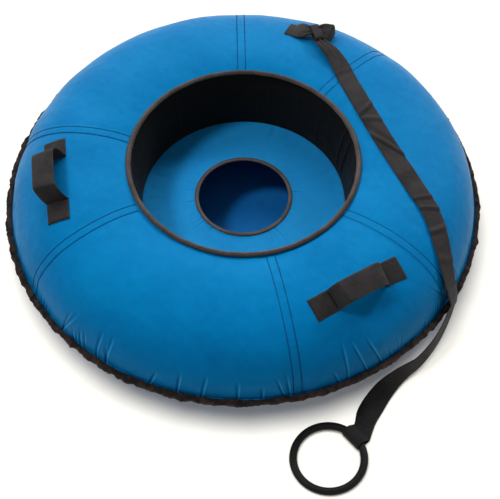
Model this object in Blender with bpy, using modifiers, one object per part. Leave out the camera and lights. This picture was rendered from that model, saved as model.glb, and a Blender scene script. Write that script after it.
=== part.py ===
# Snow tube: a rubber tube blown up inside a sewn cover, with a bound mouth, a seat hung in it,
# three webbing handles, and a tow strap that ends in a ring.
# Metres, +Z up. The origin is on the floor under the middle, and +Y points to the back.
import math

import bmesh
import bpy
from mathutils import Matrix, Vector

# The cover, measured on its outer face
COVER_RADIUS = 0.543
SEAM_HEIGHT = 0.114
SHOULDER_REACH = 0.213
CROWN_HEIGHT = 0.262
MOUTH_LIP = 0.062
MOUTH_DROP = 0.009
SHOULDER_POWER_SHARE = 2.1
UNDERSIDE_REACH = 0.123
FLOOR_FLAT = 0.045
UNDERSIDE_POWER_SHARE = 2.0
COVER_CLOTH = 0.0010
BOTTOM_CLOTH = 0.0012
CLEARANCE = 0.0003

# Seams between the panels, and the outer seam with its binding
SEAM_AZIMUTHS = (48.5, 90.5, 167.5, 209.8, 282.0, 327.3)
LAP_HALF_WIDTH = 0.009
LAP_SLOPE = 0.003
LAP_MARGIN = 0.0006
PANEL_STEP_DEGREES = 7.5
HEM_FIN = 0.0138
HEM_LIP_START = 0.0045
HEM_HALF_HEIGHT = 0.0033
HEM_END_ROOM = 0.0013
HEM_TIP_ROOM = 0.0008
HEM_TAPE = 0.0015

# The mouth's binding, folded over the edges of the cover and of the inner wall
MOUTH_FIN = 0.0085
MOUTH_FIN_DEGREES = 135.0
MOUTH_LIP_START = 0.0020
MOUTH_SEAM_ROOM = 0.0006
MOUTH_HALF_WIDTH = 0.0037
MOUTH_END_ROOM = 0.0009
MOUTH_TIP_ROOM = 0.0008
BINDING_TAPE = 0.0012

# The inner wall and the seat
WALL_LEAN = 0.025
WAIST_HEIGHT = 0.100
WALL_BULGE = 0.005
WAIST_FLANGE = 0.012
SEAT_HOLE_SHARE = 0.465
SEAT_RISE = 0.016
SEAT_BINDING_WIDTH = 0.011
SEAT_BINDING_HALF = 0.0012

# The inner tube and its valve
RUBBER_WALL = 0.0018
TUBE_ROOM = 0.0016
TUBE_SHOULDER_POWER_SHARE = 3.5
TUBE_SIDE_SHARES = (0.35, 0.65, 0.85, 0.96)
VALVE_AZIMUTH = -90.0
VALVE_HEIGHT = 0.070
VALVE_FOOT_RADIUS = 0.016
VALVE_FOOT_HEIGHT = 0.003
VALVE_NECK_RADIUS = 0.0065
VALVE_NECK_HEIGHT = 0.018
VALVE_STEM_RADIUS = 0.0040
VALVE_STEM_HEIGHT = 0.030
VALVE_STEM_BORE = 0.0027
VALVE_CORE_DEPTH = 0.018
VALVE_CORE_RECESS = 0.002
VALVE_PIN_RADIUS = 0.0007
VALVE_PIN_REACH = 0.0015
CAP_LENGTH = 0.013
CAP_WALL = 0.0012
CAP_TOP = 0.0020

# Webbing, and the handles sewn from it
WEBBING_WIDTH = 0.051
WEBBING_THICKNESS = 0.0023
HANDLE_LIFT = 0.0005
HANDLE_FROM_EDGE = 0.1155
HANDLE_LENGTH = 0.229
HANDLE_TAB = 0.048
HANDLE_BELLY_SHARE = 0.10
HANDLE_ARCH_POWER_SHARE = 0.62
LEFT_AZIMUTH = 187.3
LEFT_LOOP_HEIGHT = 0.044
LEFT_LOOP_LEAN = 0.026
RIGHT_AZIMUTH = 306.1
RIGHT_LOOP_HEIGHT = 0.036
RIGHT_LOOP_LEAN = 0.006
TOW_AZIMUTH = 68.5
TOW_FROM_EDGE = 0.118
TOW_LENGTH = 0.137
TOW_TAB = 0.026
TOW_LOOP_HEIGHT = 0.030
TOW_PINCH_SHARE = 0.27
TOW_PULL_INWARDS = 0.011
TOW_PULL_ALONG = 0.024

# The strap's eye round the tow handle
HITCH_WIDTH = 0.018
HITCH_HALF_LENGTH = 0.0245
HITCH_HALF_HEIGHT = 0.0090
HITCH_TILT_ROOM = 0.0017
HITCH_POWER_SHARE = 3.0
HITCH_AZIMUTH = -74.0
HITCH_RISE_SHARE = 0.12

# The ring, lying on the floor in the strap's other eye
RING_RADIUS = 0.0775
RING_BAR_RADIUS = 0.0085
RING_X = 0.190
RING_FROM_EDGE = 0.088
RING_EYE_AZIMUTH = 40.7
EYE_BORE_RADIUS = 0.0117
EYE_TAIL_REACH = 0.024
EYE_TAIL_DROP = 0.0065
EYE_TIP_DEGREES = 40.0
EYE_NECK_DEGREES = 50.0

# The strap's centre line between the hitch and the eye, and which way its face looks where it hangs
STRAP_ROUTE = (
    (0.206, 0.321, 0.276),
    (0.226, 0.288, 0.268),
    (0.247, 0.235, 0.265),
    (0.271, 0.177, 0.265),
    (0.295, 0.120, 0.265),
    (0.319, 0.064, 0.265),
    (0.343, 0.011, 0.265),
    (0.368, -0.040, 0.263),
    (0.393, -0.088, 0.260),
    (0.418, -0.131, 0.250),
    (0.435, -0.176, 0.235),
    (0.446, -0.220, 0.215),
    (0.457, -0.257, 0.187),
    (0.466, -0.281, 0.155),
    (0.471, -0.302, 0.128),
    (0.463, -0.324, 0.107),
    (0.442, -0.361, 0.083),
    (0.420, -0.388, 0.064),
    (0.395, -0.411, 0.048),
    (0.371, -0.426, 0.038),
    (0.349, -0.441, 0.031),
    (0.322, -0.468, 0.022),
    (0.301, -0.496, 0.012),
    (0.286, -0.523, 0.0072),
)
STRAP_HANGS_FROM = 13
STRAP_FACES = (
    (0.78, -0.42, 0.46),
    (0.87, -0.46, 0.18),
    (0.87, -0.50, 0.02),
    (0.83, -0.55, 0.02),
    (0.78, -0.62, 0.04),
    (0.72, -0.68, 0.08),
    (0.67, -0.72, 0.14),
    (0.60, -0.74, 0.24),
    (0.52, -0.70, 0.42),
    (0.40, -0.52, 0.74),
    (0.20, -0.25, 0.94),
    (0.04, -0.06, 1.00),
    (0.0, 0.0, 1.0),
)
HEM_HEIGHT_KEPT_CLEAR = 0.012
HEM_DRAPE_HEIGHT = 0.045
HEM_DRAPE_SHARE = 0.55
STRAP_STEPS_PER_POINT = 2
STRAP_GATHERED_ROWS = 4
STRAP_SKEWED_ROWS = 4

# Facets round a whole turn, and steps along a curve
COVER_FACETS = 54
WALL_FACETS = 48
TUBE_FACETS = 28
VALVE_FACETS = 16
RING_FACETS = 32
RING_BAR_FACETS = 10
HITCH_FACETS = 24
SHOULDER_STEPS = 7
UNDERSIDE_STEPS = 5
TUBE_FOOT_STEPS = 4
HANDLE_ARCH_STEPS = 12
HANDLE_STRIPS = 3
EYE_STEPS = 14

MERGE = 0.00001

CROWN_RADIUS = COVER_RADIUS - SHOULDER_REACH
MOUTH_RADIUS = CROWN_RADIUS - MOUTH_LIP
FLOOR_OUTER_RADIUS = COVER_RADIUS - UNDERSIDE_REACH
FLOOR_INNER_RADIUS = FLOOR_OUTER_RADIUS - FLOOR_FLAT
WAIST_RADIUS = MOUTH_RADIUS - WALL_LEAN
SEAT_HOLE_RADIUS = WAIST_RADIUS * SEAT_HOLE_SHARE
HANDLE_RADIUS = COVER_RADIUS - HANDLE_FROM_EDGE
TOW_RADIUS = COVER_RADIUS - TOW_FROM_EDGE
RING_Y = -COVER_RADIUS - RING_FROM_EDGE
MOUTH_HEIGHT = CROWN_HEIGHT - MOUTH_DROP
SEAT_HOLE_HEIGHT = WAIST_HEIGHT + SEAT_RISE
HALF_GAP = CLEARANCE / 2
LAP_LIFT = COVER_CLOTH + CLEARANCE
STRAP_LIFT = LAP_LIFT + 2 * CLEARANCE
HEM_REACH = COVER_RADIUS - COVER_CLOTH + HEM_FIN + HEM_END_ROOM + HEM_TIP_ROOM + 2 * HEM_TAPE
EYE_OUTER_RADIUS = EYE_BORE_RADIUS + WEBBING_THICKNESS
EYE_HEIGHT = EYE_OUTER_RADIUS + CLEARANCE
HITCH_SET_DOWN = HITCH_HALF_HEIGHT - WEBBING_THICKNESS / 2 - CLEARANCE - HITCH_TILT_ROOM

BLUE = (0.020, 0.240, 0.640)
BLACK_WEBBING = (0.030, 0.027, 0.026)
WALL_BLACK = (0.014, 0.014, 0.016)
RUBBER_BLACK = (0.022, 0.022, 0.023)
RING_BLACK = (0.010, 0.010, 0.011)
BRASS = (0.620, 0.430, 0.160)


def clear_scene():
    for obj in list(bpy.data.objects):
        bpy.data.objects.remove(obj, do_unlink=True)


def make_collection(name, hidden):
    collection = bpy.data.collections.new(name)
    bpy.context.scene.collection.children.link(collection)
    collection.hide_render = hidden
    return collection


def make_material(name, colour, roughness, metallic=0.0):
    material = bpy.data.materials.new(name)
    material.use_nodes = True
    shader = material.node_tree.nodes["Principled BSDF"]
    shader.inputs["Base Color"].default_value = (*colour, 1.0)
    shader.inputs["Roughness"].default_value = roughness
    shader.inputs["Metallic"].default_value = metallic
    return material


# Lines in the plane of radius and height

def quarter(centre, reach, power, first, last, steps):
    # A stretch of a superellipse, between two angles in degrees
    points = []
    for step in range(steps + 1):
        angle = math.radians(first + (last - first) * step / steps)
        across = math.copysign(abs(math.cos(angle)) ** (2 / power), math.cos(angle))
        up = math.copysign(abs(math.sin(angle)) ** (2 / power), math.sin(angle))
        points.append((centre[0] + reach[0] * across, centre[1] + reach[1] * up))
    return points


def offset_line(points, distance):
    # The same line moved to its left by the distance, with mitred corners
    moved = []
    for index, point in enumerate(points):
        before = points[max(index - 1, 0)]
        after = points[min(index + 1, len(points) - 1)]
        into = Vector((point[0] - before[0], point[1] - before[1]))
        out_of = Vector((after[0] - point[0], after[1] - point[1]))
        into = into.normalized() if into.length > 0 else out_of.normalized()
        out_of = out_of.normalized() if out_of.length > 0 else into
        along = (into + out_of).normalized()
        mitre = distance / max(along.dot(into), 0.5)
        moved.append((point[0] - along.y * mitre, point[1] + along.x * mitre))
    return moved


def shoulder_line(inset, steps):
    # From the crown down to the outer seam
    centre = (CROWN_RADIUS, SEAM_HEIGHT)
    reach = (COVER_RADIUS - CROWN_RADIUS - inset, CROWN_HEIGHT - SEAM_HEIGHT - inset)
    return quarter(centre, reach, SHOULDER_POWER_SHARE, 90, 0, steps)


def underside_line(inset, steps):
    # From the outer seam down to the floor
    centre = (FLOOR_OUTER_RADIUS, SEAM_HEIGHT)
    reach = (COVER_RADIUS - FLOOR_OUTER_RADIUS - inset, SEAM_HEIGHT - inset)
    return quarter(centre, reach, UNDERSIDE_POWER_SHARE, 0, -90, steps)


def mouth_slope(radius):
    share = (CROWN_RADIUS - radius) / (CROWN_RADIUS - MOUTH_RADIUS)
    return CROWN_HEIGHT - MOUTH_DROP * share ** 2


def cover_top(radius):
    # Height of the cover's outer face
    if radius <= CROWN_RADIUS:
        return mouth_slope(radius)
    share = min((radius - CROWN_RADIUS) / (COVER_RADIUS - CROWN_RADIUS), 1.0)
    up = (1 - share ** SHOULDER_POWER_SHARE) ** (1 / SHOULDER_POWER_SHARE)
    return SEAM_HEIGHT + (CROWN_HEIGHT - SEAM_HEIGHT) * up


def wall_radius(height):
    share = (height - WAIST_HEIGHT) / (MOUTH_HEIGHT - WAIST_HEIGHT)
    straight = WAIST_RADIUS + (MOUTH_RADIUS - WAIST_RADIUS) * share
    return straight - WALL_BULGE * 4 * share * (1 - share)


def mouth_fin_end():
    angle = math.radians(MOUTH_FIN_DEGREES)
    return (MOUTH_RADIUS + MOUTH_FIN * math.cos(angle), MOUTH_HEIGHT + MOUTH_FIN * math.sin(angle))


def panel_line():
    # The cover's inner face, from the mouth's edge over the crown to the outer edge
    inset = COVER_CLOTH + HALF_GAP
    half_way = (MOUTH_RADIUS + CROWN_RADIUS) / 2
    line = [mouth_fin_end(), (MOUTH_RADIUS, MOUTH_HEIGHT), (half_way, mouth_slope(half_way) - inset)]
    line += shoulder_line(inset, SHOULDER_STEPS)
    line.append((line[-1][0] + HEM_FIN, SEAM_HEIGHT))
    line = offset_line(line, HALF_GAP)
    across = math.radians(MOUTH_FIN_DEGREES - 90)
    for index in (0, 1):
        line[index] = (line[index][0] + MOUTH_SEAM_ROOM * math.cos(across),
                       line[index][1] + MOUTH_SEAM_ROOM * math.sin(across))
    return line


def bottom_line():
    inset = BOTTOM_CLOTH + HALF_GAP
    line = [(COVER_RADIUS - inset + HEM_FIN, SEAM_HEIGHT)] + underside_line(inset, UNDERSIDE_STEPS) + [(0.0, inset)]
    line = offset_line(line, HALF_GAP)
    line[-1] = (0.0, BOTTOM_CLOTH)
    return line


def wall_line():
    middle = (MOUTH_HEIGHT + WAIST_HEIGHT) / 2
    foot = WAIST_HEIGHT - WAIST_FLANGE
    line = [mouth_fin_end(), (MOUTH_RADIUS, MOUTH_HEIGHT), (wall_radius(middle), middle)]
    line += [(WAIST_RADIUS, WAIST_HEIGHT), (WAIST_RADIUS, foot)]
    return offset_line(line, -HALF_GAP)


def seat_line():
    # Up the sewn flange, then in to the hole
    rim = WAIST_RADIUS - HALF_GAP - COVER_CLOTH - CLEARANCE
    edge = SEAT_HOLE_RADIUS + BINDING_TAPE + CLEARANCE
    return [(rim, WAIST_HEIGHT - WAIST_FLANGE), (rim, WAIST_HEIGHT), (edge, SEAT_HOLE_HEIGHT)]


def tube_line():
    # The inner tube's outer face: down its outer side, along the floor and up its inner side
    inset = COVER_CLOTH + CLEARANCE + TUBE_ROOM
    low = BOTTOM_CLOTH + CLEARANCE
    line = shoulder_line(inset, SHOULDER_STEPS)
    line += underside_line(inset, UNDERSIDE_STEPS)[1:-1]
    line.append((FLOOR_OUTER_RADIUS, low))
    waist = WAIST_RADIUS + inset
    line += quarter((FLOOR_INNER_RADIUS, WAIST_HEIGHT), (FLOOR_INNER_RADIUS - waist, WAIST_HEIGHT - low),
                    UNDERSIDE_POWER_SHARE, 270, 180, TUBE_FOOT_STEPS)
    power = TUBE_SHOULDER_POWER_SHARE
    rise = CROWN_HEIGHT - inset - WAIST_HEIGHT
    for share in TUBE_SIDE_SHARES:
        height = WAIST_HEIGHT + rise * share
        reach = CROWN_RADIUS - wall_radius(height) - inset
        line.append((CROWN_RADIUS - reach * (1 - share ** power) ** (1 / power), height))
    return line


# Tools that make objects

def new_object(name, mesh, material, collection):
    obj = bpy.data.objects.new(name, mesh)
    collection.objects.link(obj)
    if material is not None:
        mesh.materials.append(material)
    return obj


def smooth(obj, degrees=35):
    obj.data.shade_smooth()
    obj.data.set_sharp_from_angle(angle=math.radians(degrees))


def solidify(obj, thickness, outward):
    shell = obj.modifiers.new("thickness", "SOLIDIFY")
    shell.thickness = thickness
    shell.offset = 1.0 if outward else -1.0
    shell.use_even_offset = True
    shell.use_quality_normals = True


def turned(name, line, facets, material, collection, closed=False):
    # A line of radii and heights turned about the vertical axis
    mesh = bpy.data.meshes.new(name)
    points = [(radius, 0.0, height) for radius, height in line]
    edges = [(index, index + 1) for index in range(len(points) - 1)]
    if closed:
        edges.append((len(points) - 1, 0))
    mesh.from_pydata(points, edges, [])
    obj = new_object(name, mesh, material, collection)
    screw = obj.modifiers.new("turn", "SCREW")
    screw.axis = "Z"
    screw.angle = math.tau
    screw.steps = facets
    screw.render_steps = facets
    screw.use_merge_vertices = True
    screw.merge_threshold = MERGE
    screw.use_smooth_shade = True
    return obj


def grid_object(name, rows, material, collection):
    # An open sheet through rows of points
    mesh = bpy.data.meshes.new(name)
    count = len(rows[0])
    points = [point for row in rows for point in row]
    faces = []
    for row in range(len(rows) - 1):
        for column in range(count - 1):
            corner = row * count + column
            faces.append((corner, corner + 1, corner + count + 1, corner + count))
    mesh.from_pydata(points, [], faces)
    obj = new_object(name, mesh, material, collection)
    smooth(obj)
    return obj


def on_turn(radius, height, degrees, sideways=0.0):
    # A point at an azimuth, moved sideways on its own circle
    angle = math.radians(degrees) + math.asin(sideways / radius)
    return (radius * math.cos(angle), radius * math.sin(angle), height)


# The cover's panels

def panel(name, first, last, material, collection):
    # Its first edge lies under the panel before it, and its last edge laps over the next one
    line = panel_line()
    raised = offset_line(line, LAP_LIFT)
    level_edge = LAP_HALF_WIDTH + LAP_MARGIN
    spread = math.degrees((level_edge + LAP_SLOPE) / MOUTH_RADIUS)
    count = max(2, math.ceil((last - first - 2 * spread) / PANEL_STEP_DEGREES))
    columns = [(line, first, -LAP_HALF_WIDTH), (line, first, LAP_HALF_WIDTH)]
    for step in range(1, count):
        columns.append((line, first + spread + (last - first - 2 * spread) * step / count, 0.0))
    columns.append((line, last, -level_edge - LAP_SLOPE))
    columns.append((raised, last, -level_edge))
    columns.append((raised, last, LAP_HALF_WIDTH))
    rows = [[on_turn(*point, degrees, sideways) for point in path] for path, degrees, sideways in columns]
    obj = grid_object(name, rows, material, collection)
    solidify(obj, COVER_CLOTH, True)
    return obj


def add_panels(material, collection):
    seams = SEAM_AZIMUTHS
    for index, first in enumerate(seams):
        last = seams[index + 1] if index + 1 < len(seams) else seams[0] + 360
        panel(f"top_panel_{index + 1}", first, last, material, collection)


# Bindings, each a tape folded over the edge that it covers

def folded_tape(name, root, degrees, start, end, half, tip_room, tape, facets, material, collection):
    along = Vector((math.cos(math.radians(degrees)), math.sin(math.radians(degrees))))
    across = Vector((-along.y, along.x))
    root = Vector(root)
    shape = ((start, half), (end, half), (end + tip_room, 0.0), (end, -half), (start, -half))
    line = [tuple(root + along * reach + across * side) for reach, side in shape]
    obj = turned(name, line, facets, material, collection)
    solidify(obj, tape, True)
    return obj


def add_bindings(material, collection):
    hem_root = (COVER_RADIUS - COVER_CLOTH - HALF_GAP, SEAM_HEIGHT)
    folded_tape("hem_binding", hem_root, 0.0, HEM_LIP_START, HEM_FIN + HEM_END_ROOM,
                HEM_HALF_HEIGHT, HEM_TIP_ROOM, HEM_TAPE, COVER_FACETS, material, collection)
    folded_tape("mouth_binding", (MOUTH_RADIUS, MOUTH_HEIGHT), MOUTH_FIN_DEGREES, MOUTH_LIP_START,
                MOUTH_FIN + MOUTH_END_ROOM, MOUTH_HALF_WIDTH, MOUTH_TIP_ROOM, BINDING_TAPE, WALL_FACETS,
                material, collection)
    slope = math.degrees(math.atan2(SEAT_RISE, WAIST_RADIUS - SEAT_HOLE_RADIUS))
    middle = (SEAT_HOLE_RADIUS, SEAT_HOLE_HEIGHT - COVER_CLOTH / 2)
    folded_tape("seat_hole_binding", middle, 180.0 - slope, -SEAT_BINDING_WIDTH, -BINDING_TAPE,
                SEAT_BINDING_HALF, BINDING_TAPE, BINDING_TAPE, WALL_FACETS, material, collection)


# The inner tube and its valve

def valve_frame():
    # Where the valve stands on the inner tube, with its own Z along the stem towards the middle
    low = BOTTOM_CLOTH + CLEARANCE
    waist = WAIST_RADIUS + COVER_CLOTH + CLEARANCE + TUBE_ROOM
    share = (WAIST_HEIGHT - VALVE_HEIGHT) / (WAIST_HEIGHT - low)
    across = (1 - share ** UNDERSIDE_POWER_SHARE) ** (1 / UNDERSIDE_POWER_SHARE)
    radius = FLOOR_INNER_RADIUS - (FLOOR_INNER_RADIUS - waist) * across
    angle = math.radians(VALVE_AZIMUTH)
    place = Vector((radius * math.cos(angle), radius * math.sin(angle), VALVE_HEIGHT))
    inwards = Vector((-math.cos(angle), -math.sin(angle), 0.0))
    return Matrix.Translation(place) @ inwards.to_track_quat("Z", "Y").to_matrix().to_4x4()


def cylinder_cutter(name, radius, low, high, frame, collection):
    mesh = bpy.data.meshes.new(name)
    shape = bmesh.new()
    bmesh.ops.create_cone(shape, cap_ends=True, segments=VALVE_FACETS, radius1=radius, radius2=radius,
                          depth=high - low)
    bmesh.ops.translate(shape, verts=shape.verts, vec=(0, 0, (low + high) / 2))
    shape.to_mesh(mesh)
    shape.free()
    obj = new_object(name, mesh, None, collection)
    obj.matrix_world = frame
    obj.hide_render = True
    obj.display_type = "WIRE"
    return obj


def cut(obj, cutter):
    boolean = obj.modifiers.new("cut", "BOOLEAN")
    boolean.operation = "DIFFERENCE"
    boolean.solver = "EXACT"
    boolean.object = cutter


def add_inner_tube(material, collection, cutters):
    obj = turned("inner_tube", tube_line(), TUBE_FACETS, material, collection, closed=True)
    solidify(obj, RUBBER_WALL, False)
    reach = VALVE_STEM_RADIUS + CLEARANCE
    hole = cylinder_cutter("valve_hole_cutter", reach, -VALVE_FOOT_RADIUS, VALVE_FOOT_RADIUS, valve_frame(), cutters)
    cut(obj, hole)


def add_valve(rubber, brass, plastic, collection, cutters):
    frame = valve_frame()
    bore = VALVE_STEM_RADIUS + CLEARANCE
    foot = [(VALVE_NECK_RADIUS, VALVE_NECK_HEIGHT), (VALVE_NECK_RADIUS, 2 * VALVE_FOOT_HEIGHT),
            (VALVE_FOOT_RADIUS, VALVE_FOOT_HEIGHT), (VALVE_FOOT_RADIUS, -VALVE_FOOT_HEIGHT),
            (bore, -VALVE_FOOT_HEIGHT), (bore, VALVE_NECK_HEIGHT)]
    base = turned("valve_base", foot, VALVE_FACETS, rubber, collection, closed=True)
    base.matrix_world = frame
    tube_room = turned("tube_room_cutter", offset_line(tube_line(), CLEARANCE), TUBE_FACETS, None, cutters, closed=True)
    tube_room.hide_render = True
    tube_room.display_type = "WIRE"
    cut(base, tube_room)

    thread = VALVE_STEM_RADIUS
    stem = [(thread, VALVE_STEM_HEIGHT), (thread, 0.0), (VALVE_STEM_BORE, 0.0), (VALVE_STEM_BORE, VALVE_STEM_HEIGHT)]
    turned("valve_stem", stem, VALVE_FACETS, brass, collection, closed=True).matrix_world = frame

    core_top = VALVE_STEM_HEIGHT - VALVE_CORE_RECESS
    core_low = core_top - VALVE_CORE_DEPTH
    core_radius = VALVE_STEM_BORE - CLEARANCE
    pin_bore = VALVE_PIN_RADIUS + CLEARANCE
    core = [(core_radius, core_top), (core_radius, core_low), (pin_bore, core_low), (pin_bore, core_top)]
    turned("valve_core", core, VALVE_FACETS, brass, collection, closed=True).matrix_world = frame

    pin = [(0.0, core_top + VALVE_PIN_REACH), (VALVE_PIN_RADIUS, core_top + VALVE_PIN_REACH),
           (VALVE_PIN_RADIUS, core_low), (0.0, core_low)]
    turned("valve_pin", pin, VALVE_FACETS, brass, collection).matrix_world = frame

    cap_bore = VALVE_STEM_RADIUS + CLEARANCE
    cap_wide = cap_bore + CAP_WALL
    inside_top = VALVE_STEM_HEIGHT + CLEARANCE + VALVE_PIN_REACH
    cap_low = inside_top + CAP_TOP - CAP_LENGTH
    cap = [(0.0, inside_top + CAP_TOP), (cap_wide - CAP_WALL / 2, inside_top + CAP_TOP),
           (cap_wide, inside_top + CAP_TOP / 2), (cap_wide, cap_low), (cap_bore, cap_low),
           (cap_bore, inside_top), (0.0, inside_top)]
    turned("valve_cap", cap, VALVE_FACETS, plastic, collection).matrix_world = frame


# Handles of webbing

def handle(name, azimuth, radius, length, tab, height, lean, pinch_share, pull, material, collection):
    # Rows across the webbing, from one sewn end over the loop to the other
    angle = math.radians(azimuth)
    outwards = Vector((math.cos(angle), math.sin(angle), 0.0))
    along = Vector((math.sin(angle), -math.cos(angle), 0.0))
    middle = outwards * radius
    half = length / 2
    free = half - tab
    stations = [(-half, 0.0), (-half + tab / 2, 0.0), (-half + tab, 0.0)]
    for step in range(1, HANDLE_ARCH_STEPS):
        turn = math.pi * step / HANDLE_ARCH_STEPS
        belly = 1 + HANDLE_BELLY_SHARE * math.sin(turn)
        stations.append((-free * math.cos(turn) * belly, math.sin(turn) ** HANDLE_ARCH_POWER_SHARE))
    stations += [(-s, rise) for s, rise in reversed(stations[:3])]
    rows = []
    for place, rise in stations:
        narrow = 1 - (1 - pinch_share) * rise ** 2
        row = []
        for step in range(HANDLE_STRIPS + 1):
            aside = (step / HANDLE_STRIPS - 0.5) * WEBBING_WIDTH
            ground = middle + along * place + outwards * aside * narrow
            level = cover_top(ground.length)
            point = ground + outwards * lean * rise + along * pull * rise
            point.z = level + HANDLE_LIFT + height * rise
            row.append(tuple(point))
        rows.append(row)
    obj = grid_object(name, rows, material, collection)
    obj.data.flip_normals()
    solidify(obj, WEBBING_THICKNESS, True)
    return obj


def add_handles(material, collection):
    handle("left_handle", LEFT_AZIMUTH, HANDLE_RADIUS, HANDLE_LENGTH, HANDLE_TAB,
           LEFT_LOOP_HEIGHT, LEFT_LOOP_LEAN, 1.0, 0.0, material, collection)
    handle("right_handle", RIGHT_AZIMUTH, HANDLE_RADIUS, HANDLE_LENGTH, HANDLE_TAB,
           RIGHT_LOOP_HEIGHT, RIGHT_LOOP_LEAN, 1.0, 0.0, material, collection)
    handle("tow_handle", TOW_AZIMUTH, TOW_RADIUS, TOW_LENGTH, TOW_TAB,
           TOW_LOOP_HEIGHT, -TOW_PULL_INWARDS, TOW_PINCH_SHARE, TOW_PULL_ALONG, material, collection)


# The strap, its eyes and the ring

def flat_loop(name, outer, inner, width, frame, material, collection):
    # A band with its outline in the frame's XY plane, as wide as the webbing along Z
    curve = bpy.data.curves.new(name, "CURVE")
    curve.dimensions = "2D"
    curve.fill_mode = "BOTH"
    curve.extrude = width / 2
    for outline in (outer, inner):
        spline = curve.splines.new("POLY")
        spline.points.add(len(outline) - 1)
        for point, place in zip(spline.points, outline):
            point.co = (place[0], place[1], 0.0, 1.0)
        spline.use_cyclic_u = True
    obj = bpy.data.objects.new(name, curve)
    curve.materials.append(material)
    collection.objects.link(obj)
    obj.matrix_world = frame
    return obj


def arc(radius, first, last, steps):
    turns = [math.radians(first + (last - first) * step / steps) for step in range(steps + 1)]
    return [(radius * math.cos(turn), radius * math.sin(turn)) for turn in turns]


def frame_at(place, x_axis, y_axis):
    x_axis = Vector(x_axis).normalized()
    z_axis = x_axis.cross(Vector(y_axis)).normalized()
    y_axis = z_axis.cross(x_axis)
    turn = Matrix((x_axis, y_axis, z_axis)).transposed().to_4x4()
    return Matrix.Translation(Vector(place)) @ turn


def eye_axis():
    # The hinge line of the ring, half way between the bar's nearest and farthest places in the eye
    angle = math.radians(RING_EYE_AZIMUTH)
    out = Vector((math.cos(angle), math.sin(angle), 0.0))
    sag = RING_RADIUS - math.sqrt(RING_RADIUS ** 2 - (WEBBING_WIDTH / 2) ** 2)
    centre = Vector((RING_X, RING_Y, 0.0))
    place = centre + out * (RING_RADIUS - sag / 2)
    place.z = EYE_HEIGHT
    return place, out, sag


def add_ring_eye(material, collection):
    place, out, _ = eye_axis()
    half = WEBBING_THICKNESS + HALF_GAP
    tail_end = Vector((EYE_TAIL_REACH, -EYE_TAIL_DROP))
    outer = arc(EYE_OUTER_RADIUS, EYE_NECK_DEGREES, 360 - EYE_NECK_DEGREES, EYE_STEPS)
    outer += [(tail_end.x, tail_end.y - half), (tail_end.x, tail_end.y + half)]
    inner = arc(EYE_BORE_RADIUS, EYE_TIP_DEGREES, 360 - EYE_TIP_DEGREES, EYE_STEPS)
    inner.append((EYE_BORE_RADIUS / math.cos(math.radians(EYE_TIP_DEGREES)), 0.0))
    frame = frame_at(place, out, (0, 0, 1))
    return flat_loop("strap_ring_eye", outer, inner, WEBBING_WIDTH, frame, material, collection)


def add_ring(material, collection):
    place, out, sag = eye_axis()
    far = 2 * RING_RADIUS - sag / 2
    tilt = math.asin((EYE_HEIGHT - RING_BAR_RADIUS - CLEARANCE) / far)
    bpy.ops.mesh.primitive_torus_add(major_radius=RING_RADIUS, minor_radius=RING_BAR_RADIUS,
                                     major_segments=RING_FACETS, minor_segments=RING_BAR_FACETS)
    ring = bpy.context.active_object
    ring.name = "tow_ring"
    ring.data.name = "tow_ring"
    for holder in list(ring.users_collection):
        holder.objects.unlink(ring)
    collection.objects.link(ring)
    ring.data.transform(Matrix.Translation((-RING_RADIUS + sag / 2, 0.0, 0.0)))
    ring.data.transform(Matrix.Rotation(-tilt, 4, "Y"))
    ring.rotation_euler = (0.0, 0.0, math.atan2(out.y, out.x))
    ring.location = place
    ring.data.materials.append(material)
    ring.data.shade_smooth()


def hitch_frame():
    # At the middle of the tow handle's pinched loop, with its own X towards the strap
    angle = math.radians(TOW_AZIMUTH)
    outwards = Vector((math.cos(angle), math.sin(angle), 0.0))
    along = Vector((math.sin(angle), -math.cos(angle), 0.0))
    ground = outwards * TOW_RADIUS
    place = ground - outwards * TOW_PULL_INWARDS + along * TOW_PULL_ALONG
    place.z = cover_top(ground.length) + HANDLE_LIFT + TOW_LOOP_HEIGHT + WEBBING_THICKNESS / 2
    place.z -= HITCH_SET_DOWN
    angle = math.radians(HITCH_AZIMUTH)
    slope = Vector((math.cos(angle), math.sin(angle), HITCH_RISE_SHARE))
    return frame_at(place, slope, (0, 0, 1))


def add_hitch(material, collection):
    bore = (HITCH_HALF_LENGTH, HITCH_HALF_HEIGHT)
    around = (HITCH_HALF_LENGTH + WEBBING_THICKNESS, HITCH_HALF_HEIGHT + WEBBING_THICKNESS)
    last = 360 - 360 / HITCH_FACETS
    inner = quarter((0.0, 0.0), bore, HITCH_POWER_SHARE, 0, last, HITCH_FACETS - 1)
    outer = quarter((0.0, 0.0), around, HITCH_POWER_SHARE, 0, last, HITCH_FACETS - 1)
    return flat_loop("strap_hitch", outer, inner, HITCH_WIDTH, hitch_frame(), material, collection)


def smooth_route(points, steps):
    # A Catmull-Rom curve through the points
    route = [Vector(point) for point in points]
    route = [2 * route[0] - route[1]] + route + [2 * route[-1] - route[-2]]
    curve = []
    for index in range(1, len(route) - 2):
        before, here, after, later = route[index - 1:index + 3]
        for step in range(steps):
            t = step / steps
            curve.append(0.5 * (2 * here + (after - before) * t
                                + (2 * before - 5 * here + 4 * after - later) * t ** 2
                                + (3 * here - before - 3 * after + later) * t ** 3))
    curve.append(route[-2])
    return curve


def cover_face(place):
    # The cover's outward direction at a place on its top
    radius = math.hypot(place.x, place.y)
    step = COVER_CLOTH
    slope = (cover_top(radius + step) - cover_top(radius - step)) / (2 * step)
    return Vector((-slope * place.x / radius, -slope * place.y / radius, 1.0)).normalized()


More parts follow.
